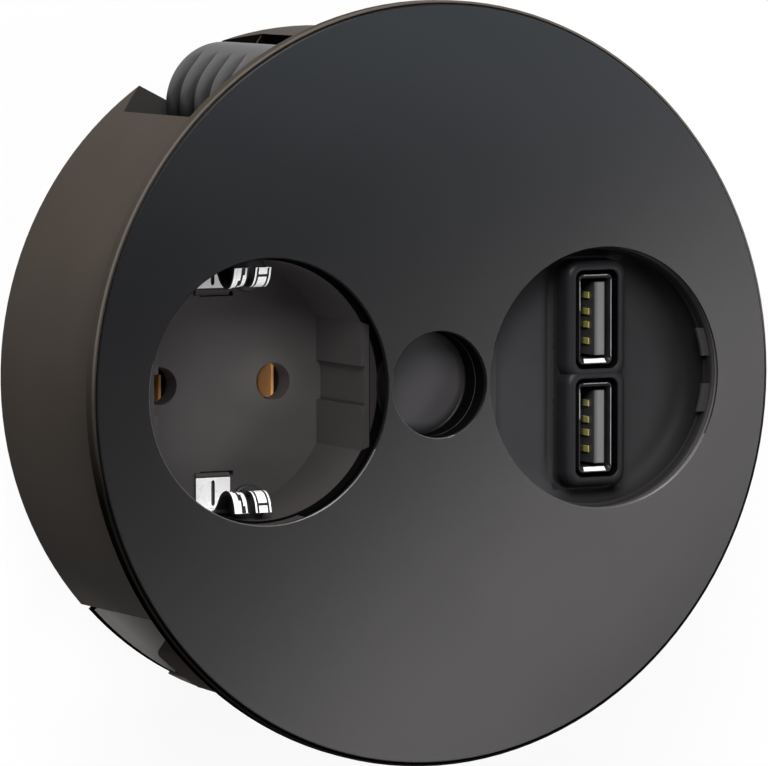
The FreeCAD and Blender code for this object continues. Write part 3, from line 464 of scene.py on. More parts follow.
def gridFaces(rows, columns, closeRows=False, closeColumns=False, first=0):
    # four corners of every cell of a grid of points, wrapped where it closes
    down = np.arange(rows if closeRows else rows - 1)
    along = np.arange(columns if closeColumns else columns - 1)
    i, j = np.meshgrid(down, along, indexing="ij")
    i2, j2 = (i + 1) % rows, (j + 1) % columns
    cells = np.stack([i * columns + j, i * columns + j2, i2 * columns + j2, i2 * columns + j], -1)
    return cells.reshape(-1, 4) + first


def roundCorners(points, cuts, steps=6):
    # a line whose corners are replaced by short curves: each point of a curve is
    # the corner's own quadratic blend between the cut points before and after it
    points = np.asarray(points, float)
    cuts = np.broadcast_to(cuts, len(points))
    t = np.linspace(0, 1, steps)[:, None]
    line = [points[:1]]
    for k in range(1, len(points) - 1):
        before, corner, after = points[k - 1:k + 2]
        a = corner + (before - corner) * min(0.49, cuts[k] / np.linalg.norm(before - corner))
        b = corner + (after - corner) * min(0.49, cuts[k] / np.linalg.norm(after - corner))
        bend = (1 - t) ** 2 * a + 2 * t * (1 - t) * corner + t ** 2 * b
        line.append(bend if cuts[k] > 0 else corner[None])
    line.append(points[-1:])
    return np.concatenate(line)


def lathe(profile, centre=(0.0, 0.0), around=128):
    # a profile of (radius, height) carried once round an upright axis
    profile = np.asarray(profile, float)
    angle = np.linspace(0, 2 * np.pi, around, endpoint=False)
    r, z = profile[:, :1], profile[:, 1:]
    grid = np.stack([centre[0] + r * np.cos(angle), centre[1] + r * np.sin(angle),
                     z + 0 * angle], -1)
    return grid.reshape(-1, 3), gridFaces(len(profile), around, False, True)


def stub(x, y, r, low, high, edges, around):
    # upright pin with both ends rounded
    line = roundCorners([(0, low), (r, low), (r, high), (0, high)], [0, *edges, 0])
    return lathe(line, (x, y), around)


def mergedPieces(parts):
    # several (points, faces) as one
    points, faces, first = [], [], 0
    for somePoints, someFaces in parts:
        points.append(somePoints)
        faces.append(someFaces + first)
        first += len(somePoints)
    return np.concatenate(points), np.concatenate(faces)


def facesOf(piece, x=0.0):
    # centres in mm and normals of all faces, and the distance of each from the upright line at x
    mesh = piece.data
    centre, normal = np.zeros(len(mesh.polygons) * 3), np.zeros(len(mesh.polygons) * 3)
    mesh.polygons.foreach_get("center", centre)
    mesh.polygons.foreach_get("normal", normal)
    centre, normal = centre.reshape(-1, 3) / mm, normal.reshape(-1, 3)
    return centre, normal, np.hypot(centre[:, 0] - x, centre[:, 1])


def near(values, place, within=0.05):
    return np.abs(values - place) < within


def isWall(normal):
    # faces that stand upright, within about 17 degrees
    return near(normal[:, 2], 0.0, 0.3)


def isTop(normal):
    # faces that look up, within about 26 degrees
    return normal[:, 2] > 0.9


def smoothStep(share):
    # 0 to 1 with level ends
    share = np.clip(share, 0, 1)
    return share * share * (3 - 2 * share)


def paintFaces(piece, shadeName, chosen):
    # the chosen faces take another shade
    mesh = piece.data
    mesh.materials.append(shades[shadeName])
    index = np.zeros(len(mesh.polygons), np.int32)
    mesh.polygons.foreach_get("material_index", index)
    index[chosen] = len(mesh.materials) - 1
    mesh.polygons.foreach_set("material_index", index)


def softCopy(node, look):
    # the node's own mesh, merged, its faces made whole and its edges rounded where the look asks for it
    source = nodes[node]
    piece = source.copy()
    piece.data = source.data.copy()
    first, *others = node.split("_")
    piece.name = first + "".join(word.capitalize() for word in others)
    for key in [key for key in piece.keys() if key.startswith("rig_")]:
        del piece[key]
    piece.parent = None
    bpy.context.scene.collection.objects.link(piece)
    shape = bmesh.new()
    shape.from_mesh(piece.data)
    bmesh.ops.remove_doubles(shape, verts=shape.verts, dist=meshLook["joinCopy"] * mm)
    if look:
        bmesh.ops.dissolve_limit(shape, angle_limit=math.radians(meshLook["oneFace"]), verts=shape.verts,
                                 edges=shape.edges)
    shape.to_mesh(piece.data)
    shape.free()
    if piece.data.has_custom_normals:
        with bpy.context.temp_override(object=piece, active_object=piece, selected_objects=[piece]):
            bpy.ops.mesh.customdata_custom_splitnormals_clear()
    finishPiece(piece, bodyOf(node), slotOf[node], 30.0)
    if look:
        bevel = piece.modifiers.new("edges", "BEVEL")
        bevel.width = look["edge"] * mm
        bevel.segments = look["segments"]
        bevel.limit_method = "ANGLE"
        bevel.angle_limit = math.radians(meshLook["roundFrom"])
        bevel.use_clamp_overlap = True
        bevel.harden_normals = True
    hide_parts(node)
    return piece


# Cover, flange, can and the small parts in the wells

fineEdge, padEdge = {"edge": 0.12, "segments": 2}, {"edge": 0.08, "segments": 2}
softLooks = {
    "cover_disc": {}, "flange_deck": {}, "housing_can": {}, "rear_cover": {},
    "socket_insert": {}, "port_frame": {},
    "locating_lug": {"edge": 0.4, "segments": 3},
    "clamp_spindle_upper": {}, "clamp_spindle_lower": {},
    "port_tongue_upper": fineEdge, "port_tongue_lower": fineEdge,
    "port_contacts_upper": padEdge, "port_contacts_lower": padEdge,
    "pin_contact_left": fineEdge, "pin_contact_right": fineEdge,
}
soft = {node: softCopy(node, look) for node, look in softLooks.items()}

deckTop = -0.2        # mm, also the top of the mains pot

flangeLook = {"top": 2.0, "lipInside": 49.7, "cornerR": 56.8, "cornerLow": 1.5, "sideR": 57.0}


def paintFlange(look):
    # the dark inside as painted shadow, the ledge round the wells with painted shadow beyond it, the light
    # edge of the lip as painted light that turns to painted shade at the bottom, and the outer side in
    # painted shade towards the bottom
    piece = soft["flange_deck"]
    centre, normal, r = facesOf(piece)
    inside = r < look["lipInside"]
    paintFaces(piece, "paintedShadowBlack", inside & (centre[:, 2] < look["top"] - 0.01))
    paintFaces(piece, "recess", inside & near(centre[:, 2], deckTop) & isTop(normal))
    corner = (r > look["cornerR"]) & (centre[:, 2] > look["cornerLow"])
    paintFaces(piece, "lipLight", corner & (normal[:, 2] > 0.3))
    paintFaces(piece, "rimSideShade", (r > look["sideR"]) & isWall(normal)
               | ~inside & near(centre[:, 2], look["top"]) & isTop(normal))


# painted highlight: the bevels are light where they lean to the lamps: up, and a little to the right
coverLook = {"inside": 56.0, "portFrom": 9.0, "lean": 0.4, "litOver": 0.1, "darkUnder": -0.25,
             "hubR": 9.0, "hubLean": 0.9, "hubLitOver": 0.42}


def paintCover(look):
    # walls of the holes, those by the charging well with painted light and shade, and their bevels by the
    # side that the light comes from, with a painted highlight where they lean to the lamps
    piece = soft["cover_disc"]
    centre, normal, r = facesOf(piece)
    inside = r < look["inside"]
    wall = inside & isWall(normal)
    onPort = centre[:, 0] > look["portFrom"]
    paintFaces(piece, "coverWall", wall & ~onPort)
    paintFaces(piece, "portWall", wall & onPort)
    bevel = inside & near(normal[:, 2], 0.7, 0.2)
    rimLight = normal[:, 1] + look["lean"] * normal[:, 0]
    hubLight = normal[:, 1] + look["hubLean"] * normal[:, 0]
    inHub = r < look["hubR"]
    isLit = np.where(inHub, hubLight > look["hubLitOver"], rimLight > look["litOver"])
    isDark = np.where(inHub, ~isLit, rimLight < look["darkUnder"])
    paintFaces(piece, "edgeHighlight", bevel & isLit)
    paintFaces(piece, "coverWall", bevel & isDark)
    paintFaces(piece, "coverWall", ~inside & (normal[:, 2] < 0.97))


wellLook = {"portX": 28.5, "portWallR": 19.8, "potFlat": 9.3}


def paintWells(look):
    # the ring round the charging dish with its inner wall in painted shade deeper down, and the top of the
    # mains pot, with painted shadow on its round parts
    piece = soft["port_frame"]
    r = facesOf(piece, look["portX"])[2]
    paintFaces(piece, "frameSatin", allFaces)
    paintFaces(piece, "frameWall", near(r, look["portWallR"], 0.1))
    piece = soft["socket_insert"]
    centre, normal = facesOf(piece)[:2]
    rim = isTop(normal) & near(centre[:, 2], deckTop)
    paintFaces(piece, "potTop", rim)
    paintFaces(piece, "paintedShadowBlack", rim & (np.abs(centre[:, 1]) > look["potFlat"]))


canLook = {
    "r": 52.6, "windowY": 30.0, "windowWallR": 40.0, "windowFloorR": 46.0, "windowFloorZ": -30.0,
    "bayAt": 232.05, "bayHalf": 12.0,      # degrees round the can
    "bayWallR": 42.0, "bayPlateR": 38.0,
}


def paintCan(look):
    # chambers and windows of the can in painted shade, and in the bay the walls of the rear cover in painted
    # shadow and its plate in painted light, shaded towards its inner part
    piece = soft["housing_can"]
    centre, normal, r = facesOf(piece)
    isInner = (normal[:, :2] * centre[:, :2]).sum(1) < 0.9 * np.maximum(r, 1e-6)
    inWindow = centre[:, 1] > look["windowY"]
    paintFaces(piece, "canInsideShade", isInner & near(normal[:, 2], 0.0, 0.9) & (r < look["r"]))
    windowWall = isInner & (normal[:, 0] < -0.3) & (r > look["windowWallR"])
    windowFloor = isTop(normal) & (r > look["windowFloorR"]) & (centre[:, 2] < look["windowFloorZ"])
    paintFaces(piece, "paintedShadowBlack", inWindow & (windowWall | windowFloor))
    piece = soft["rear_cover"]
    centre, normal, r = facesOf(piece)
    turn = np.degrees(np.arctan2(centre[:, 1], centre[:, 0])) % 360
    nearBay = near(turn, look["bayAt"], look["bayHalf"])
    paintFaces(piece, "paintedShadowBlack", nearBay & (r > look["bayWallR"]))
    paintFaces(piece, "bayPlate", nearBay & (r > look["bayPlateR"]) & isTop(normal))


paintFlange(flangeLook)
paintCover(coverLook)
paintWells(wellLook)
paintCan(canLook)
print("frame parts smoothed:", len(soft))


# Finger recess

hubLook = {
    "r": 8.0, "neck": 8.6, "body": 9.0, "boss": 4.0,
    "floor": -3.8, "under": -5.4, "shoulder": -0.5, "top": 2.3, "bossEnd": -7.1,
    "seam": -0.47, "seamWidth": 0.16, "fillet": 0.5, "edges": (0.15, 0.3, 0.3, 0.2), "margin": 0.02,
}


def makeHubCup(look):
    # turned cup: floor, fillet, wall with a seam, neck, body and boss in one profile
    half = 0.5 * look["seamWidth"]
    line = [(0, look["floor"]), (look["r"], look["floor"]), (look["r"], look["seam"] - half),
            (look["r"] + half, look["seam"]), (look["r"], look["seam"] + half), (look["r"], look["top"]),
            (look["neck"], look["top"]), (look["neck"], look["shoulder"]), (look["body"], look["shoulder"]),
            (look["body"], look["under"]), (look["boss"], look["under"]), (look["boss"], look["bossEnd"]),
            (0, look["bossEnd"])]
    cuts = [0, look["fillet"], 0, 0, 0, 0, 0, 0, *look["edges"], 0]
    points, faces = lathe(roundCorners(line, cuts), around=160)
    piece = surfacePiece("hubCup", points, faces, bodyOf("hub_cup"), slotOf["hub_cup"], 30.0)
    centre, normal, r = facesOf(piece)
    # the wall is painted black as painted shade, the floor painted light with painted shadow near its edge,
    # and the seam given a painted highlight
    paintFaces(piece, "coverWall", allFaces)
    paintFaces(piece, "paintedShadowBlack", (r < look["r"] + look["margin"]) & isWall(normal))
    paintFaces(piece, "hubFloorLit", (r < look["r"] - look["margin"]) & (centre[:, 2] > look["floor"] - 0.1))
    paintFaces(piece, "frameSatin", (r < look["neck"] - 0.1) & near(centre[:, 2], look["seam"], half))
    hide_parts("hub_cup")


makeHubCup(hubLook)
print("finger recess made")


# Clamps

clampLook = {
    "centre": (-18.1, 41.1), "r": 9.5, "rear": -34.2, "front": -6.4, "rearRound": 1.3, "frontRound": 0.6,
    "firstGroove": -30.1, "pitch": 4.9, "grooves": 5, "deep": 1.9, "ribPower": 2.6,
    "fadeFrom": 62.0, "fadeTo": 36.0,                      # degrees from the ribbed side
    # painted shade: the drum darkens round it from darkFrom to darkTo, by up to darkest
    "darkFrom": 135.0, "darkTo": 190.0, "darkest": 0.75,   # degrees round the drum
    "pointsRound": 240, "pointsUp": 220,
}


def makeClamp(name, node, turned, look):
    # drum whose radius is the plain radius less a groove: the groove follows the height
    # as gaps between half-round ribs, and fades out with the angle from the ribbed side
    angle = np.linspace(0, 2 * np.pi, look["pointsRound"], endpoint=False)
    rear, front = look["rear"], look["front"]
    line = roundCorners([(0, rear), (look["r"], rear), (look["r"], front), (0, front)],
                        [0, look["rearRound"], look["frontRound"], 0], 9)
    cut = np.argmax(line[:, 0] >= look["r"] - 1e-6)
    side = np.linspace(line[cut][1], front - look["frontRound"], look["pointsUp"])
    line = np.concatenate([line[:cut], np.stack([0 * side + look["r"], side], -1), line[cut + 1:]])
    line = line[np.r_[True, np.any(np.abs(np.diff(line, axis=0)) > 1e-6, axis=1)]]
    r, z = line[:, :1], line[:, 1:]
    phase = (z - look["firstGroove"]) / look["pitch"]
    away = np.abs(phase - np.round(phase)) * 2            # 0 in a groove, 1 on a rib
    isRibbed = (phase > -0.5) & (phase < look["grooves"] - 0.5)
    groove = isRibbed * (1 - (1 - (1 - away) ** look["ribPower"]) ** (1 / look["ribPower"]))
    off = np.degrees(np.abs(angle - np.pi))
    fade = smoothStep((look["fadeFrom"] - off) / (look["fadeFrom"] - look["fadeTo"]))
    radius = r - look["deep"] * groove * fade * (r > look["r"] - 0.01)
    x = look["centre"][0] + radius * np.cos(angle)
    y = look["centre"][1] + radius * np.sin(angle)
    points = np.stack([x, y, z + 0 * x], -1).reshape(-1, 3)
    if turned:
        points[:, :2] *= -1
    piece = surfacePiece(name, points, gridFaces(len(line), len(angle), False, True), bodyOf(node),
                         slotOf[node], 40.0)
    # painted shade: how far each point lies in a groove, and on the side that turns away from the window; the
    # drum's colour darkens by it
    spots = np.zeros(len(piece.data.vertices) * 3)
    piece.data.vertices.foreach_get("co", spots)
    spots = spots.reshape(-1, 3) / mm * ((-1, -1, 1) if turned else (1, 1, 1)) - (*look["centre"], 0)
    inside = near(spots[:, 2], 0.5 * (rear + front), 0.5 * (front - rear) - look["rearRound"] * 1.01)
    deep = np.clip((look["r"] - np.hypot(spots[:, 0], spots[:, 1])) / look["deep"], 0, 1) * inside
    turn = np.degrees(np.arctan2(spots[:, 1], spots[:, 0])) % 360
    away = np.clip((turn - look["darkFrom"]) / (look["darkTo"] - look["darkFrom"]), 0, 1)
    hollow = piece.data.attributes.new("hollow", "FLOAT", "POINT")
    hollow.data.foreach_set("value", np.clip(deep + look["darkest"] * away, 0, 1))
    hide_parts(node)


for end, side in bothEnds:
    makeClamp("clampDrum" + end, "clamp_cam_" + end.lower(), side < 0, clampLook)
print("clamps made")


# Earth clips

clipLook = {
    "x": -29.4, "width": 5.7, "noseWidth": 6.2, "thick": 0.5,
    "path": ((13.5, -18.1), (13.5, -14.32), (18.9, -14.32), (18.9, -8.2), (16.3, -5.6),
             (15.4, -3.9), (15.5, -2.5), (16.6, -1.5), (18.3, -1.1)),
    "cuts": (0, 0.6, 0.6, 1.4, 1.4, 0.9, 0.8, 0.9, 0), "steps": 260,
    "footTop": -13.8, "footFrom": {1: 14.4, -1: 14.0}, "footBare": 0.2,
    "slot": 0.6, "slotRound": 0.45, "slotTo": 18.3,
    "slit": 1.0, "slitRound": 0.35, "slitBelow": -7.6, "noseRise": 3.0, "tilt": 8.0,
    "shares": (0.0, 0.11, 0.15, 0.19, 0.23, 0.36, 0.5, 0.64, 0.77, 0.81, 0.85, 0.89, 1.0),
    "dents": (0.15, 0.19, 0.81, 0.85), "dent": 0.1,      # places across an arm, and their depth in mm
    # the nose's reach, and where the painted reflection puts dark lines, a dark band and a slant between
    # white lands
    "noseLow": -7.4, "noseOut": 18.2, "lines": (0.17, 0.83), "lineHalf": 0.06,
    "bandAt": 17.0, "bandHalf": 0.22, "bandPart": 0.3,
    "slantAt": 0.78, "slantLean": 0.13, "slantZ": -4.0, "slantHalf": 0.12, "glintIn": 0.1, "glintLow": -4.6,
}
noseShadeLook = {"x": -28.3, "y": 17.3, "r": 2.95, "low": -5.5, "top": -4.3, "edge": 0.4}


def roundedEnd(distance, radius):
    # share of the full width at a distance from the half-round end of a slot
    return np.sqrt(np.clip(1 - (1 - np.clip(distance / radius, 0, 1)) ** 2, 0, 1))


def makeClip(name, node, side, look):
    # a strip along its path; the half width between its two arms opens at the slot
    # in the foot and at the slit through the nose
    line = roundCorners(look["path"], look["cuts"], 8)
    run = np.r_[0, np.cumsum(np.linalg.norm(np.diff(line, axis=0), axis=1))]
    s = np.unique(np.r_[np.linspace(0, run[-1], look["steps"]), run])
    y, z = np.interp(s, run, line[:, 0]), np.interp(s, run, line[:, 1])
    dy, dz = np.gradient(y, s), np.gradient(z, s)
    size = np.hypot(dy, dz)
    ny, nz = -dz / size, dy / size
    slotFrom = look["footFrom"][side] + look["slotRound"]
    onSlot = (z < look["footTop"] - 0.2) & (y > slotFrom) & (y < look["slotTo"])
    toEnd = np.minimum(y - slotFrom, look["slotTo"] - y)
    slotHalf = 0.5 * look["slot"] * roundedEnd(toEnd, look["slotRound"])
    slitHalf = 0.5 * look["slit"] * roundedEnd(z - look["slitBelow"], look["slitRound"])
    half = np.where(onSlot, slotHalf, np.where(z > look["slitBelow"], slitHalf, 0.0))
    up = smoothStep((z - look["slitBelow"]) / look["noseRise"])     # 0 on the riser, 1 on the nose
    outer = 0.5 * (look["width"] + (look["noseWidth"] - look["width"]) * up)
    t, share = 0.5 * look["thick"], np.array(look["shares"])
    dent = look["dent"] * up[:, None] * np.isin(share, look["dents"])
    columns = 2 * len(share)
    parts = []
    for arm in (-1, 1):
        tilt = up * math.tan(math.radians(look["tilt"])) * (arm < 0)
        wide = (outer - half)[:, None]
        spread = np.concatenate([wide * share, (wide * share)[:, ::-1]], 1)
        across = (half[:, None] + spread) * arm
        lift = np.concatenate([t - dent, 0 * dent - t], 1) + tilt[:, None] * (spread - 0.5 * wide)
        grid = np.stack([look["x"] + across, side * (y[:, None] + ny[:, None] * lift),
                         z[:, None] + nz[:, None] * lift], -1)
        faces = gridFaces(len(s), columns, False, True).reshape(len(s) - 1, columns, 4)
        isOpen = np.maximum(half[:-1], half[1:]) > 1e-6
        kept = np.concatenate([faces[:, :-1].reshape(-1, 4), faces[isOpen, -1]])
        k = np.arange(len(share) - 1)
        cap = np.stack([k, k + 1, columns - 2 - k, columns - 1 - k], -1)
        parts.append((grid.reshape(-1, 3), np.concatenate([kept, cap, cap + columns * (len(s) - 1)])))
    points, faces = mergedPieces(parts)
    piece = surfacePiece(name, points, faces, bodyOf(node), slotOf[node], 30.0)
    paintClip(piece, side, look)
    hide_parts(node)


def paintClip(piece, side, look):
    # painted reflection on the chrome: white lands between dark lines on the nose, the foot's top painted
    # white, and painted shade and dark reflection over the rest of the nose and foot
    centre, normal = facesOf(piece)[:2]
    inner, outer = 0.5 * look["slit"], 0.5 * look["noseWidth"]
    across = (np.abs(centre[:, 0] - look["x"]) - inner) / (outer - inner)
    out, z = side * centre[:, 1], centre[:, 2]
    nose = (z > look["noseLow"]) & (out < look["noseOut"])
    front = nose & (normal[:, 2] - side * normal[:, 1] > 0.2)
    isLine = np.any([near(across, place, look["lineHalf"]) for place in look["lines"]], axis=0)
    isBand = near(out, look["bandAt"], look["bandHalf"]) & near(across, 0.5, look["bandPart"])
    slant = look["slantAt"] - look["slantLean"] * (z - look["slantZ"])
    glint = ~near(across, slant, look["slantHalf"]) & (across > look["glintIn"]) & (z > look["glintLow"])
    shining = front & np.where(centre[:, 0] > look["x"], ~isLine & ~isBand, glint)
    foot = z < look["footTop"]
    footTop = foot & (normal[:, 2] > 0.5)
    paintFaces(piece, "darkShadeAndReflection", nose | foot)
    paintFaces(piece, "potSatin", footTop & (out < look["footFrom"][side] - look["footBare"]))
    paintFaces(piece, "clipBright", footTop & (out > look["footFrom"][side]) | shining)


def makeNoseShadeBlock(name, side, look):
    # black half-round block beside each nose, put where the underside of the nose lies in shade, turned about
    # an upright axis
    points, faces = stub(look["x"], side * look["y"], look["r"], look["low"], look["top"],
                         (look["edge"], look["edge"]), 72)
    piece = surfacePiece(name, points, faces, "base", "insert_plastic", 30.0)
    paintFaces(piece, "darkShadeAndReflection", allFaces)


for end, side in bothEnds:
    makeClip("earthClip" + end, "earth_clip_" + end.lower(), side, clipLook)
for end, side in bothEnds:
    makeNoseShadeBlock("noseShadeBlock" + end, side, noseShadeLook)
print("earth clips made")


# Charging well

dishLook = {
    "x": 28.5, "r": 19.4, "wallR": 20.4, "flat": -16.85, "flatOut": -18.25,
    "floor": -4.0, "under": -6.0, "rim": -0.35, "rimEdge": 0.2, "rimPart": 0.3,
    "fillet": 3.0, "collarFillet": 0.9, "moat": 0.5, "moatAt": 0.9, "moatWidth": 0.6,
    "portX": 28.9, "portY": 0.4, "pitch": 16.5, "top": 0.0, "ledge": -3.0, "lap": 0.5,
    # width, height and corner of each outline
    "collar": (10.4, 17.9, 2.2), "opening": (7.3, 15.0, 1.3), "slot": (5.9, 13.3, 0.3),
    "collarRound": 1.1, "mouthRound": 0.25, "collarPoints": 200, "rays": 720, "rings": 46,
    "ears": 24.5, "earR": 3.2, "earEnd": -8.5, "earTop": -2.25,
    "posts": (16.0, 41.0), "postY": 12.0, "postR": 2.6, "postEnd": -16.0, "postTop": -4.5,
}


def roundedLoop(width, height, radius, count, centre=(0.0, 0.0)):
    # evenly walked outline of a rectangle with round corners, from its right side
    corner = np.linspace(0, 0.5 * np.pi, 24)
    w, h = 0.5 * width - radius, 0.5 * height - radius
    arcs = []
    for k, (sx, sy) in enumerate(((1, 1), (-1, 1), (-1, -1), (1, -1))):
        a = corner + 0.5 * np.pi * k
        arcs.append(np.stack([sx * w + radius * np.cos(a), sy * h + radius * np.sin(a)], -1))
    line = np.concatenate(arcs + [arcs[0][:1]])
    run = np.r_[0, np.cumsum(np.linalg.norm(np.diff(line, axis=0), axis=1))]
    s = np.linspace(0, run[-1], count, endpoint=False)
    return np.stack([np.interp(s, run, line[:, k]) + centre[k] for k in (0, 1)], -1)


def loopsPiece(loops):
    # closed rings of points (each with its height or heights), joined ring to ring and last to first
    grid = np.stack([np.column_stack([loop, np.broadcast_to(z, len(loop))]) for loop, z in loops])
    return grid.reshape(-1, 3), gridFaces(len(loops), grid.shape[1], True, True)


def collarRing(look, y):
    # section from the ledge up the opening, over the rounded top and down outside
    def ring(size, height, inwards=0.0, cornerPart=1.0):
        wide, tall, corner = size
        return (roundedLoop(wide - 2 * inwards, tall - 2 * inwards, corner - cornerPart * inwards,
                            look["collarPoints"], (look["portX"], y)), height)

    low, lip, edge = look["floor"] - look["lap"], look["mouthRound"], look["collarRound"]
    bend = np.linspace(0, 0.5 * np.pi, 6)
    top, hole = look["top"], look["opening"]
    loops = [ring(look["slot"], low), ring(look["slot"], look["ledge"]), ring(hole, look["ledge"])]
    loops += [ring(hole, top - lip + lip * np.sin(a), lip * (np.cos(a) - 1)) for a in bend]
    outer = look["collar"]
    loops += [ring(outer, top - edge + edge * np.sin(a), edge * (1 - np.cos(a)), 0.6) for a in bend[::-1]]
    return loopsPiece(loops + [ring(outer, low)])


def bowlRing(look):
    # rays from the middle of the collars to the dish wall; the height is the floor
    # raised by two fillets, one by the distance to the wall and one by that to the collars,
    # and sunk a little in a soft moat round the collars
    wo, ho, ro = look["collar"][0], look["collar"][1] + look["pitch"], look["collar"][2]
    cx, cy = look["portX"], look["portY"]
    start = roundedLoop(wo - 2 * look["lap"], ho - 2 * look["lap"], ro, look["rays"])
    way = start / np.linalg.norm(start, axis=1, keepdims=True)
    begin = np.linalg.norm(start, axis=1)
    ox = cx - look["x"]

    def reach(r, flat):
        # along each ray, where it meets the circle or the flat side
        b = way[:, 0] * ox + way[:, 1] * cy
        circle = -b + np.sqrt(b * b - (ox * ox + cy * cy) + r * r)
        side = np.where(way[:, 0] < -1e-6, (flat - ox) / np.minimum(way[:, 0], -1e-6), 1e9)
        return np.minimum(circle, side)

    end = reach(look["r"], look["flat"])
    out = reach(look["wallR"], look["flatOut"])
    steps = 0.5 - 0.5 * np.cos(np.pi * np.linspace(0, 1, look["rings"]))
    ray = begin[:, None] + (end - begin)[:, None] * steps
    x = cx + ray * way[:, :1]
    y = cy + ray * way[:, 1:]
    toWall = np.minimum(look["r"] - np.hypot(x - look["x"], y), x - look["x"] - look["flat"])
    qx, qy = np.abs(x - cx) - 0.5 * wo + ro, np.abs(y - cy) - 0.5 * ho + ro
    toCollar = np.hypot(np.maximum(qx, 0), np.maximum(qy, 0)) + np.minimum(np.maximum(qx, qy), 0) - ro
    z = look["floor"] + 0 * x
    for distance, radius in ((toWall, look["fillet"]), (toCollar, look["collarFillet"])):
        t = np.clip(1 - distance / radius, 0, 1)
        z = z + radius * (1 - np.sqrt(1 - t * t))
    z = z - look["moat"] * np.exp(-((toCollar - look["moatAt"]) / look["moatWidth"]) ** 2) \
        * np.clip(toWall / look["fillet"] - 1, 0, 1)
    z = np.where(toCollar < 0, look["floor"] + look["collarFillet"], z)
    wall, outside = (np.array([cx, cy]) + far[:, None] * way for far in (end, out))
    middle = wall + (outside - wall) * look["rimPart"]
    inner = np.stack([x[:, 0], y[:, 0]], -1)
    loops = [(np.stack([x[:, k], y[:, k]], -1), z[:, k]) for k in range(look["rings"])]
    loops += [(wall, look["rim"] - look["rimEdge"]), (middle, look["rim"]), (outside, look["rim"]),
              (outside, look["under"]), (inner, look["under"])]
    return loopsPiece(loops)


def makeDish(look):
    # the bowl, its two collars, and below it the ears and posts, all as one piece
    parts = [bowlRing(look)]
    parts += [collarRing(look, look["portY"] + s * 0.5 * look["pitch"]) for s in (1, -1)]
    for side in (1, -1):
        parts.append(stub(look["x"], side * look["ears"], look["earR"], look["earEnd"], look["earTop"],
                          (0.4, 0.2), 48))
        for x in look["posts"]:
            parts.append(stub(x, side * look["postY"], look["postR"], look["postEnd"], look["postTop"],
                              (0.3, 0.2), 40))
    points, faces = mergedPieces(parts)
    piece = surfacePiece("portDish", points, faces, bodyOf("port_dish"), slotOf["port_dish"], 35.0)
    centre = facesOf(piece)[0]
    x = np.abs(centre[:, 0] - look["portX"])
    y = np.abs(np.abs(centre[:, 1] - look["portY"]) - 0.5 * look["pitch"])

    def within(size, margin):
        return (x < 0.5 * size[0] + margin) & (y < 0.5 * size[1] + margin)

    # painted light and shade over the dish, the collars in their own darker tone, and painted shadow in the
    # openings
    paintFaces(piece, "dishLightAndShade", allFaces)
    paintFaces(piece, "collarSatin", within(look["collar"], 0.6) & (centre[:, 2] > look["floor"] + 0.1))
    paintFaces(piece, "paintedShadowBlack", within(look["opening"], 0.05) & (centre[:, 2] < look["top"] - 0.2))
    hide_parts("port_dish")


makeDish(dishLook)
print("charging dish made")


# Port shells

shellLook = {
    "width": 5.7, "height": 13.1, "thick": 0.3, "corner": 0.7,
    "top": -0.6, "bottom": -16.0, "floor": -14.5,
    "lip": 0.06, "flare": 0.24, "mouth": 0.6, "mouthDeep": 1.2,     # the mouth is taller than the tube
    # glintHalf and edgeFrom place the painted highlights on the rim
    "glintHalf": 1.9, "edgeFrom": 0.1, "points": 160,
}


def makeShell(name, node, y, look):
    # drawn tube with a floor: outside wall, flat edge, flared mouth, inside wall, as rings
    x = dishLook["portX"]
    w, h, t, corner = look["width"], look["height"], look["thick"], look["corner"]
    lip, flare, top = look["lip"], look["flare"], look["top"]

    def ring(height, thinner, taller=0.0, less=0.0, up=0.0):
        loop = roundedLoop(w - thinner, h - thinner + taller, corner - less, look["points"], (x, y + up))
        return (loop, height)

    def middleAt(height):
        return (roundedLoop(0.02, 0.02, 0.005, look["points"], (x, y)), height)

    loops = [middleAt(look["bottom"]), ring(look["bottom"], 0.0), ring(top - look["mouthDeep"], 0.0),
             ring(top - lip, 0.0, look["mouth"]), ring(top, 2 * lip, look["mouth"], lip),
             ring(top, 1.4 * t, look["mouth"], t), ring(top - flare, 2 * t, -flare, t, 0.5 * flare),
             ring(look["floor"], 2 * t, -flare, t, 0.5 * flare), middleAt(look["floor"])]
    points, faces = loopsPiece(loops)
    piece = surfacePiece(name, points, faces, bodyOf(node), slotOf[node], 40.0)
    centre, normal = facesOf(piece)[:2]
    across, up = centre[:, 0] - x, centre[:, 1] - y
    rim = centre[:, 2] > top - flare - 0.02
    end = rim & near(across, 0.0, 0.5 * w - corner)
    rightSide = near(up, 0.0, 0.5 * h - corner) & (across > 0)
    leftSide = (up > look["edgeFrom"] * h) & (up < 0.5 * h - corner) & (across < 0)
    # painted shade over the shell's walls, a painted highlight on the lower edge of the mouth and painted
    # highlights on its top edges
    paintFaces(piece, "shellInsideShade", centre[:, 2] > look["floor"] + 0.1)
    glint = end & near(across, 0.0, look["glintHalf"]) & (up < 0)
    paintFaces(piece, "clipBright", glint & (normal[:, 1] > 0.3))
    paintFaces(piece, "shellEdgeHighlight", isTop(normal) & (end & (up > 0) | rim & (rightSide | leftSide)))
    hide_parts(node)


for end, side in bothEnds:
    makeShell("portShell" + end, "port_shell_" + end.lower(),
              dishLook["portY"] + side * 0.5 * dishLook["pitch"], shellLook)
print("port shells made")


# Floor, world and lamps

stageLook = {
    "floorR": 30.0, "firstRing": 0.2, "rings": 24,     # metres
    "floorZ": -39.35,                                  # mm
    "seen": (0.95, 0.95, 0.95), "bounce": (0.16, 0.16, 0.16), "glow": 0.92,
    "zenith": (0.095, 0.099, 0.107), "horizon": (0.9, 0.9, 0.9), "horizonTop": 0.08,
}


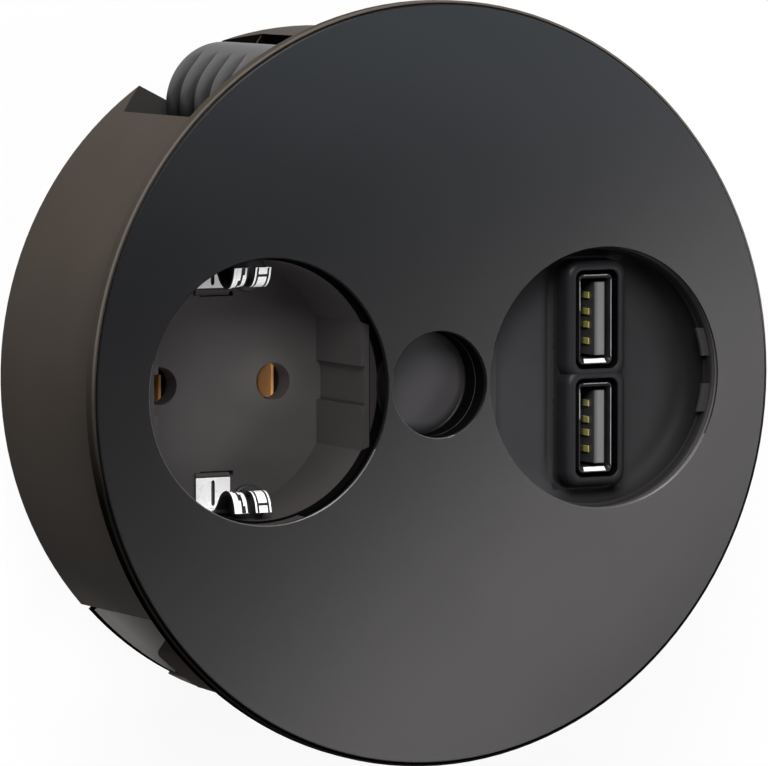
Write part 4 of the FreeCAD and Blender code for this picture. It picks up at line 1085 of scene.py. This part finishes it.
def makeFloor(look):
    # flat disc of rings that widen outwards
    r = np.r_[0, np.geomspace(look["firstRing"], look["floorR"], look["rings"])] / mm
    points, faces = lathe(np.stack([r, 0 * r + look["floorZ"]], -1), around=64)
    mesh = bpy.data.meshes.new("floor")
    mesh.from_pydata((points * mm).tolist(), [], faces[:, ::-1].tolist())
    floor = addObject("floor", mesh)
    material = bpy.data.materials.new("floorPaper")
    tree = emptyTree(material)
    path = addNode(tree, "LightPath")
    seen = path.outputs["Is Camera Ray"]      # the paper is white where it's looked at, and lights little
    for name in ("Is Glossy Ray", "Is Transmission Ray"):
        either = addNode(tree, "Math", feeds={0: seen, 1: path.outputs[name]}, operation="MAXIMUM")
        seen = either.outputs["Value"]
    paper = addNode(tree, "Mix", {"A": look["bounce"] + (1.0,), "B": look["seen"] + (1.0,)},
                    {"Factor": seen}, data_type="RGBA")
    diffuse = addNode(tree, "BsdfDiffuse", feeds={"Color": paper.outputs["Result"]})
    glow = addNode(tree, "Emission")
    share = addNode(tree, "Math", {1: look["glow"]}, {0: seen}, operation="MULTIPLY")
    mix = addNode(tree, "MixShader",
                  feeds={0: share.outputs["Value"], 1: diffuse.outputs[0], 2: glow.outputs[0]})
    addNode(tree, "OutputMaterial", feeds={"Surface": mix.outputs[0]})
    mesh.materials.append(material)


def makeWorld(look):
    world = bpy.data.worlds.new("studio")
    bpy.context.scene.world = world
    tree = emptyTree(world)
    way = addNode(tree, "TexCoord").outputs["Generated"]
    height = addNode(tree, "SeparateXYZ", feeds={"Vector": way}).outputs["Z"]
    colour = coloursOf(tree, height, [(0.0, look["horizon"] + (1.0,)),
                                      (look["horizonTop"], look["zenith"] + (1.0,))])
    back = addNode(tree, "Background", feeds={"Color": colour})
    addNode(tree, "OutputWorld", feeds={"Surface": back.outputs[0]})


# each lamp: where it stands and looks in metres, its size or its cone in degrees, power and colour;
# reflections show only the mirrored ones
lamps = {
    "frontKey": {"at": (-0.33, 0.56, 0.75), "to": (0.0, 0.0, 0.0), "size": (0.45, 0.45), "power": 9.0,
                 "colour": (1.0, 0.99, 0.98), "mirrored": True},
    "topKey": {"at": (-0.1, 0.85, 0.28), "to": (0.0, 0.0, -0.01), "size": (0.5, 0.3), "power": 3.6,
               "colour": (1.0, 0.98, 0.96), "mirrored": True},
    "sideFill": {"at": (0.65, -0.75, 0.3), "to": (0.0, 0.0, -0.01), "size": (0.4, 0.4), "power": 4.5,
                 "colour": (1.0, 0.99, 0.98)},
    "coverSheen": {"at": (0.176, -0.069, 0.28), "to": (0.02, -0.02, 0.0), "size": (0.223, 0.053),
                   "turn": 48.6, "power": 0.158, "colour": (1.0, 0.955, 0.965), "mirrored": True},
    "coolTop": {"at": (0.15, 0.053, 0.28), "to": (0.02, -0.02, 0.0), "size": (0.183, 0.043), "turn": -3.1,
                "power": 0.044, "colour": (0.85, 0.97, 1.1), "mirrored": True},
    "potFill": {"at": (-0.052, -0.03, 0.031), "to": (-0.02, 0.01, -0.01), "size": (0.02, 0.02),
                "power": 0.014, "colour": (1.0, 0.99, 0.99)},
    "pinFill": {"at": (-0.087, 0.012, 0.11), "to": (-0.0172, 0.0, -0.021), "cone": 2.2, "power": 0.9,
                "colour": (1.0, 0.98, 0.96)},
    "bayFill": {"at": (-0.068, -0.069, 0.0), "to": (-0.033, -0.04, -0.037), "cone": 26.0, "power": 0.045,
                "colour": (1.0, 0.99, 0.98)},
}
coneLook = {"blend": 0.5, "size": 0.004}      # metres


def makeLamp(name, look):
    data = bpy.data.lights.new(name, "SPOT" if "cone" in look else "AREA")
    if "cone" in look:
        data.spot_size, data.spot_blend = math.radians(look["cone"]), coneLook["blend"]
        data.shadow_soft_size = coneLook["size"]
    else:
        data.shape = "RECTANGLE"
        data.size, data.size_y = look["size"]
    data.energy = look["power"]
    data.color = look["colour"]
    lamp = addObject(name, data)
    place = Vector(look["at"])
    lamp.location = place
    lamp.visible_camera = False
    lamp.visible_glossy = look.get("mirrored", False)
    lamp.rotation_mode = "QUATERNION"
    back = (place - Vector(look["to"])).normalized()
    side = Vector((0, 1, 0)).cross(back).normalized()
    aim = Matrix((side, back.cross(side), back)).transposed().to_quaternion()
    lamp.rotation_quaternion = aim @ Quaternion((0, 0, 1), math.radians(look.get("turn", 0.0)))


makeFloor(stageLook)
makeWorld(stageLook)
for lampName, lampLook in lamps.items():
    makeLamp(lampName, lampLook)
bpy.context.scene.view_settings.view_transform = "Standard"
print("stage and lamps placed")
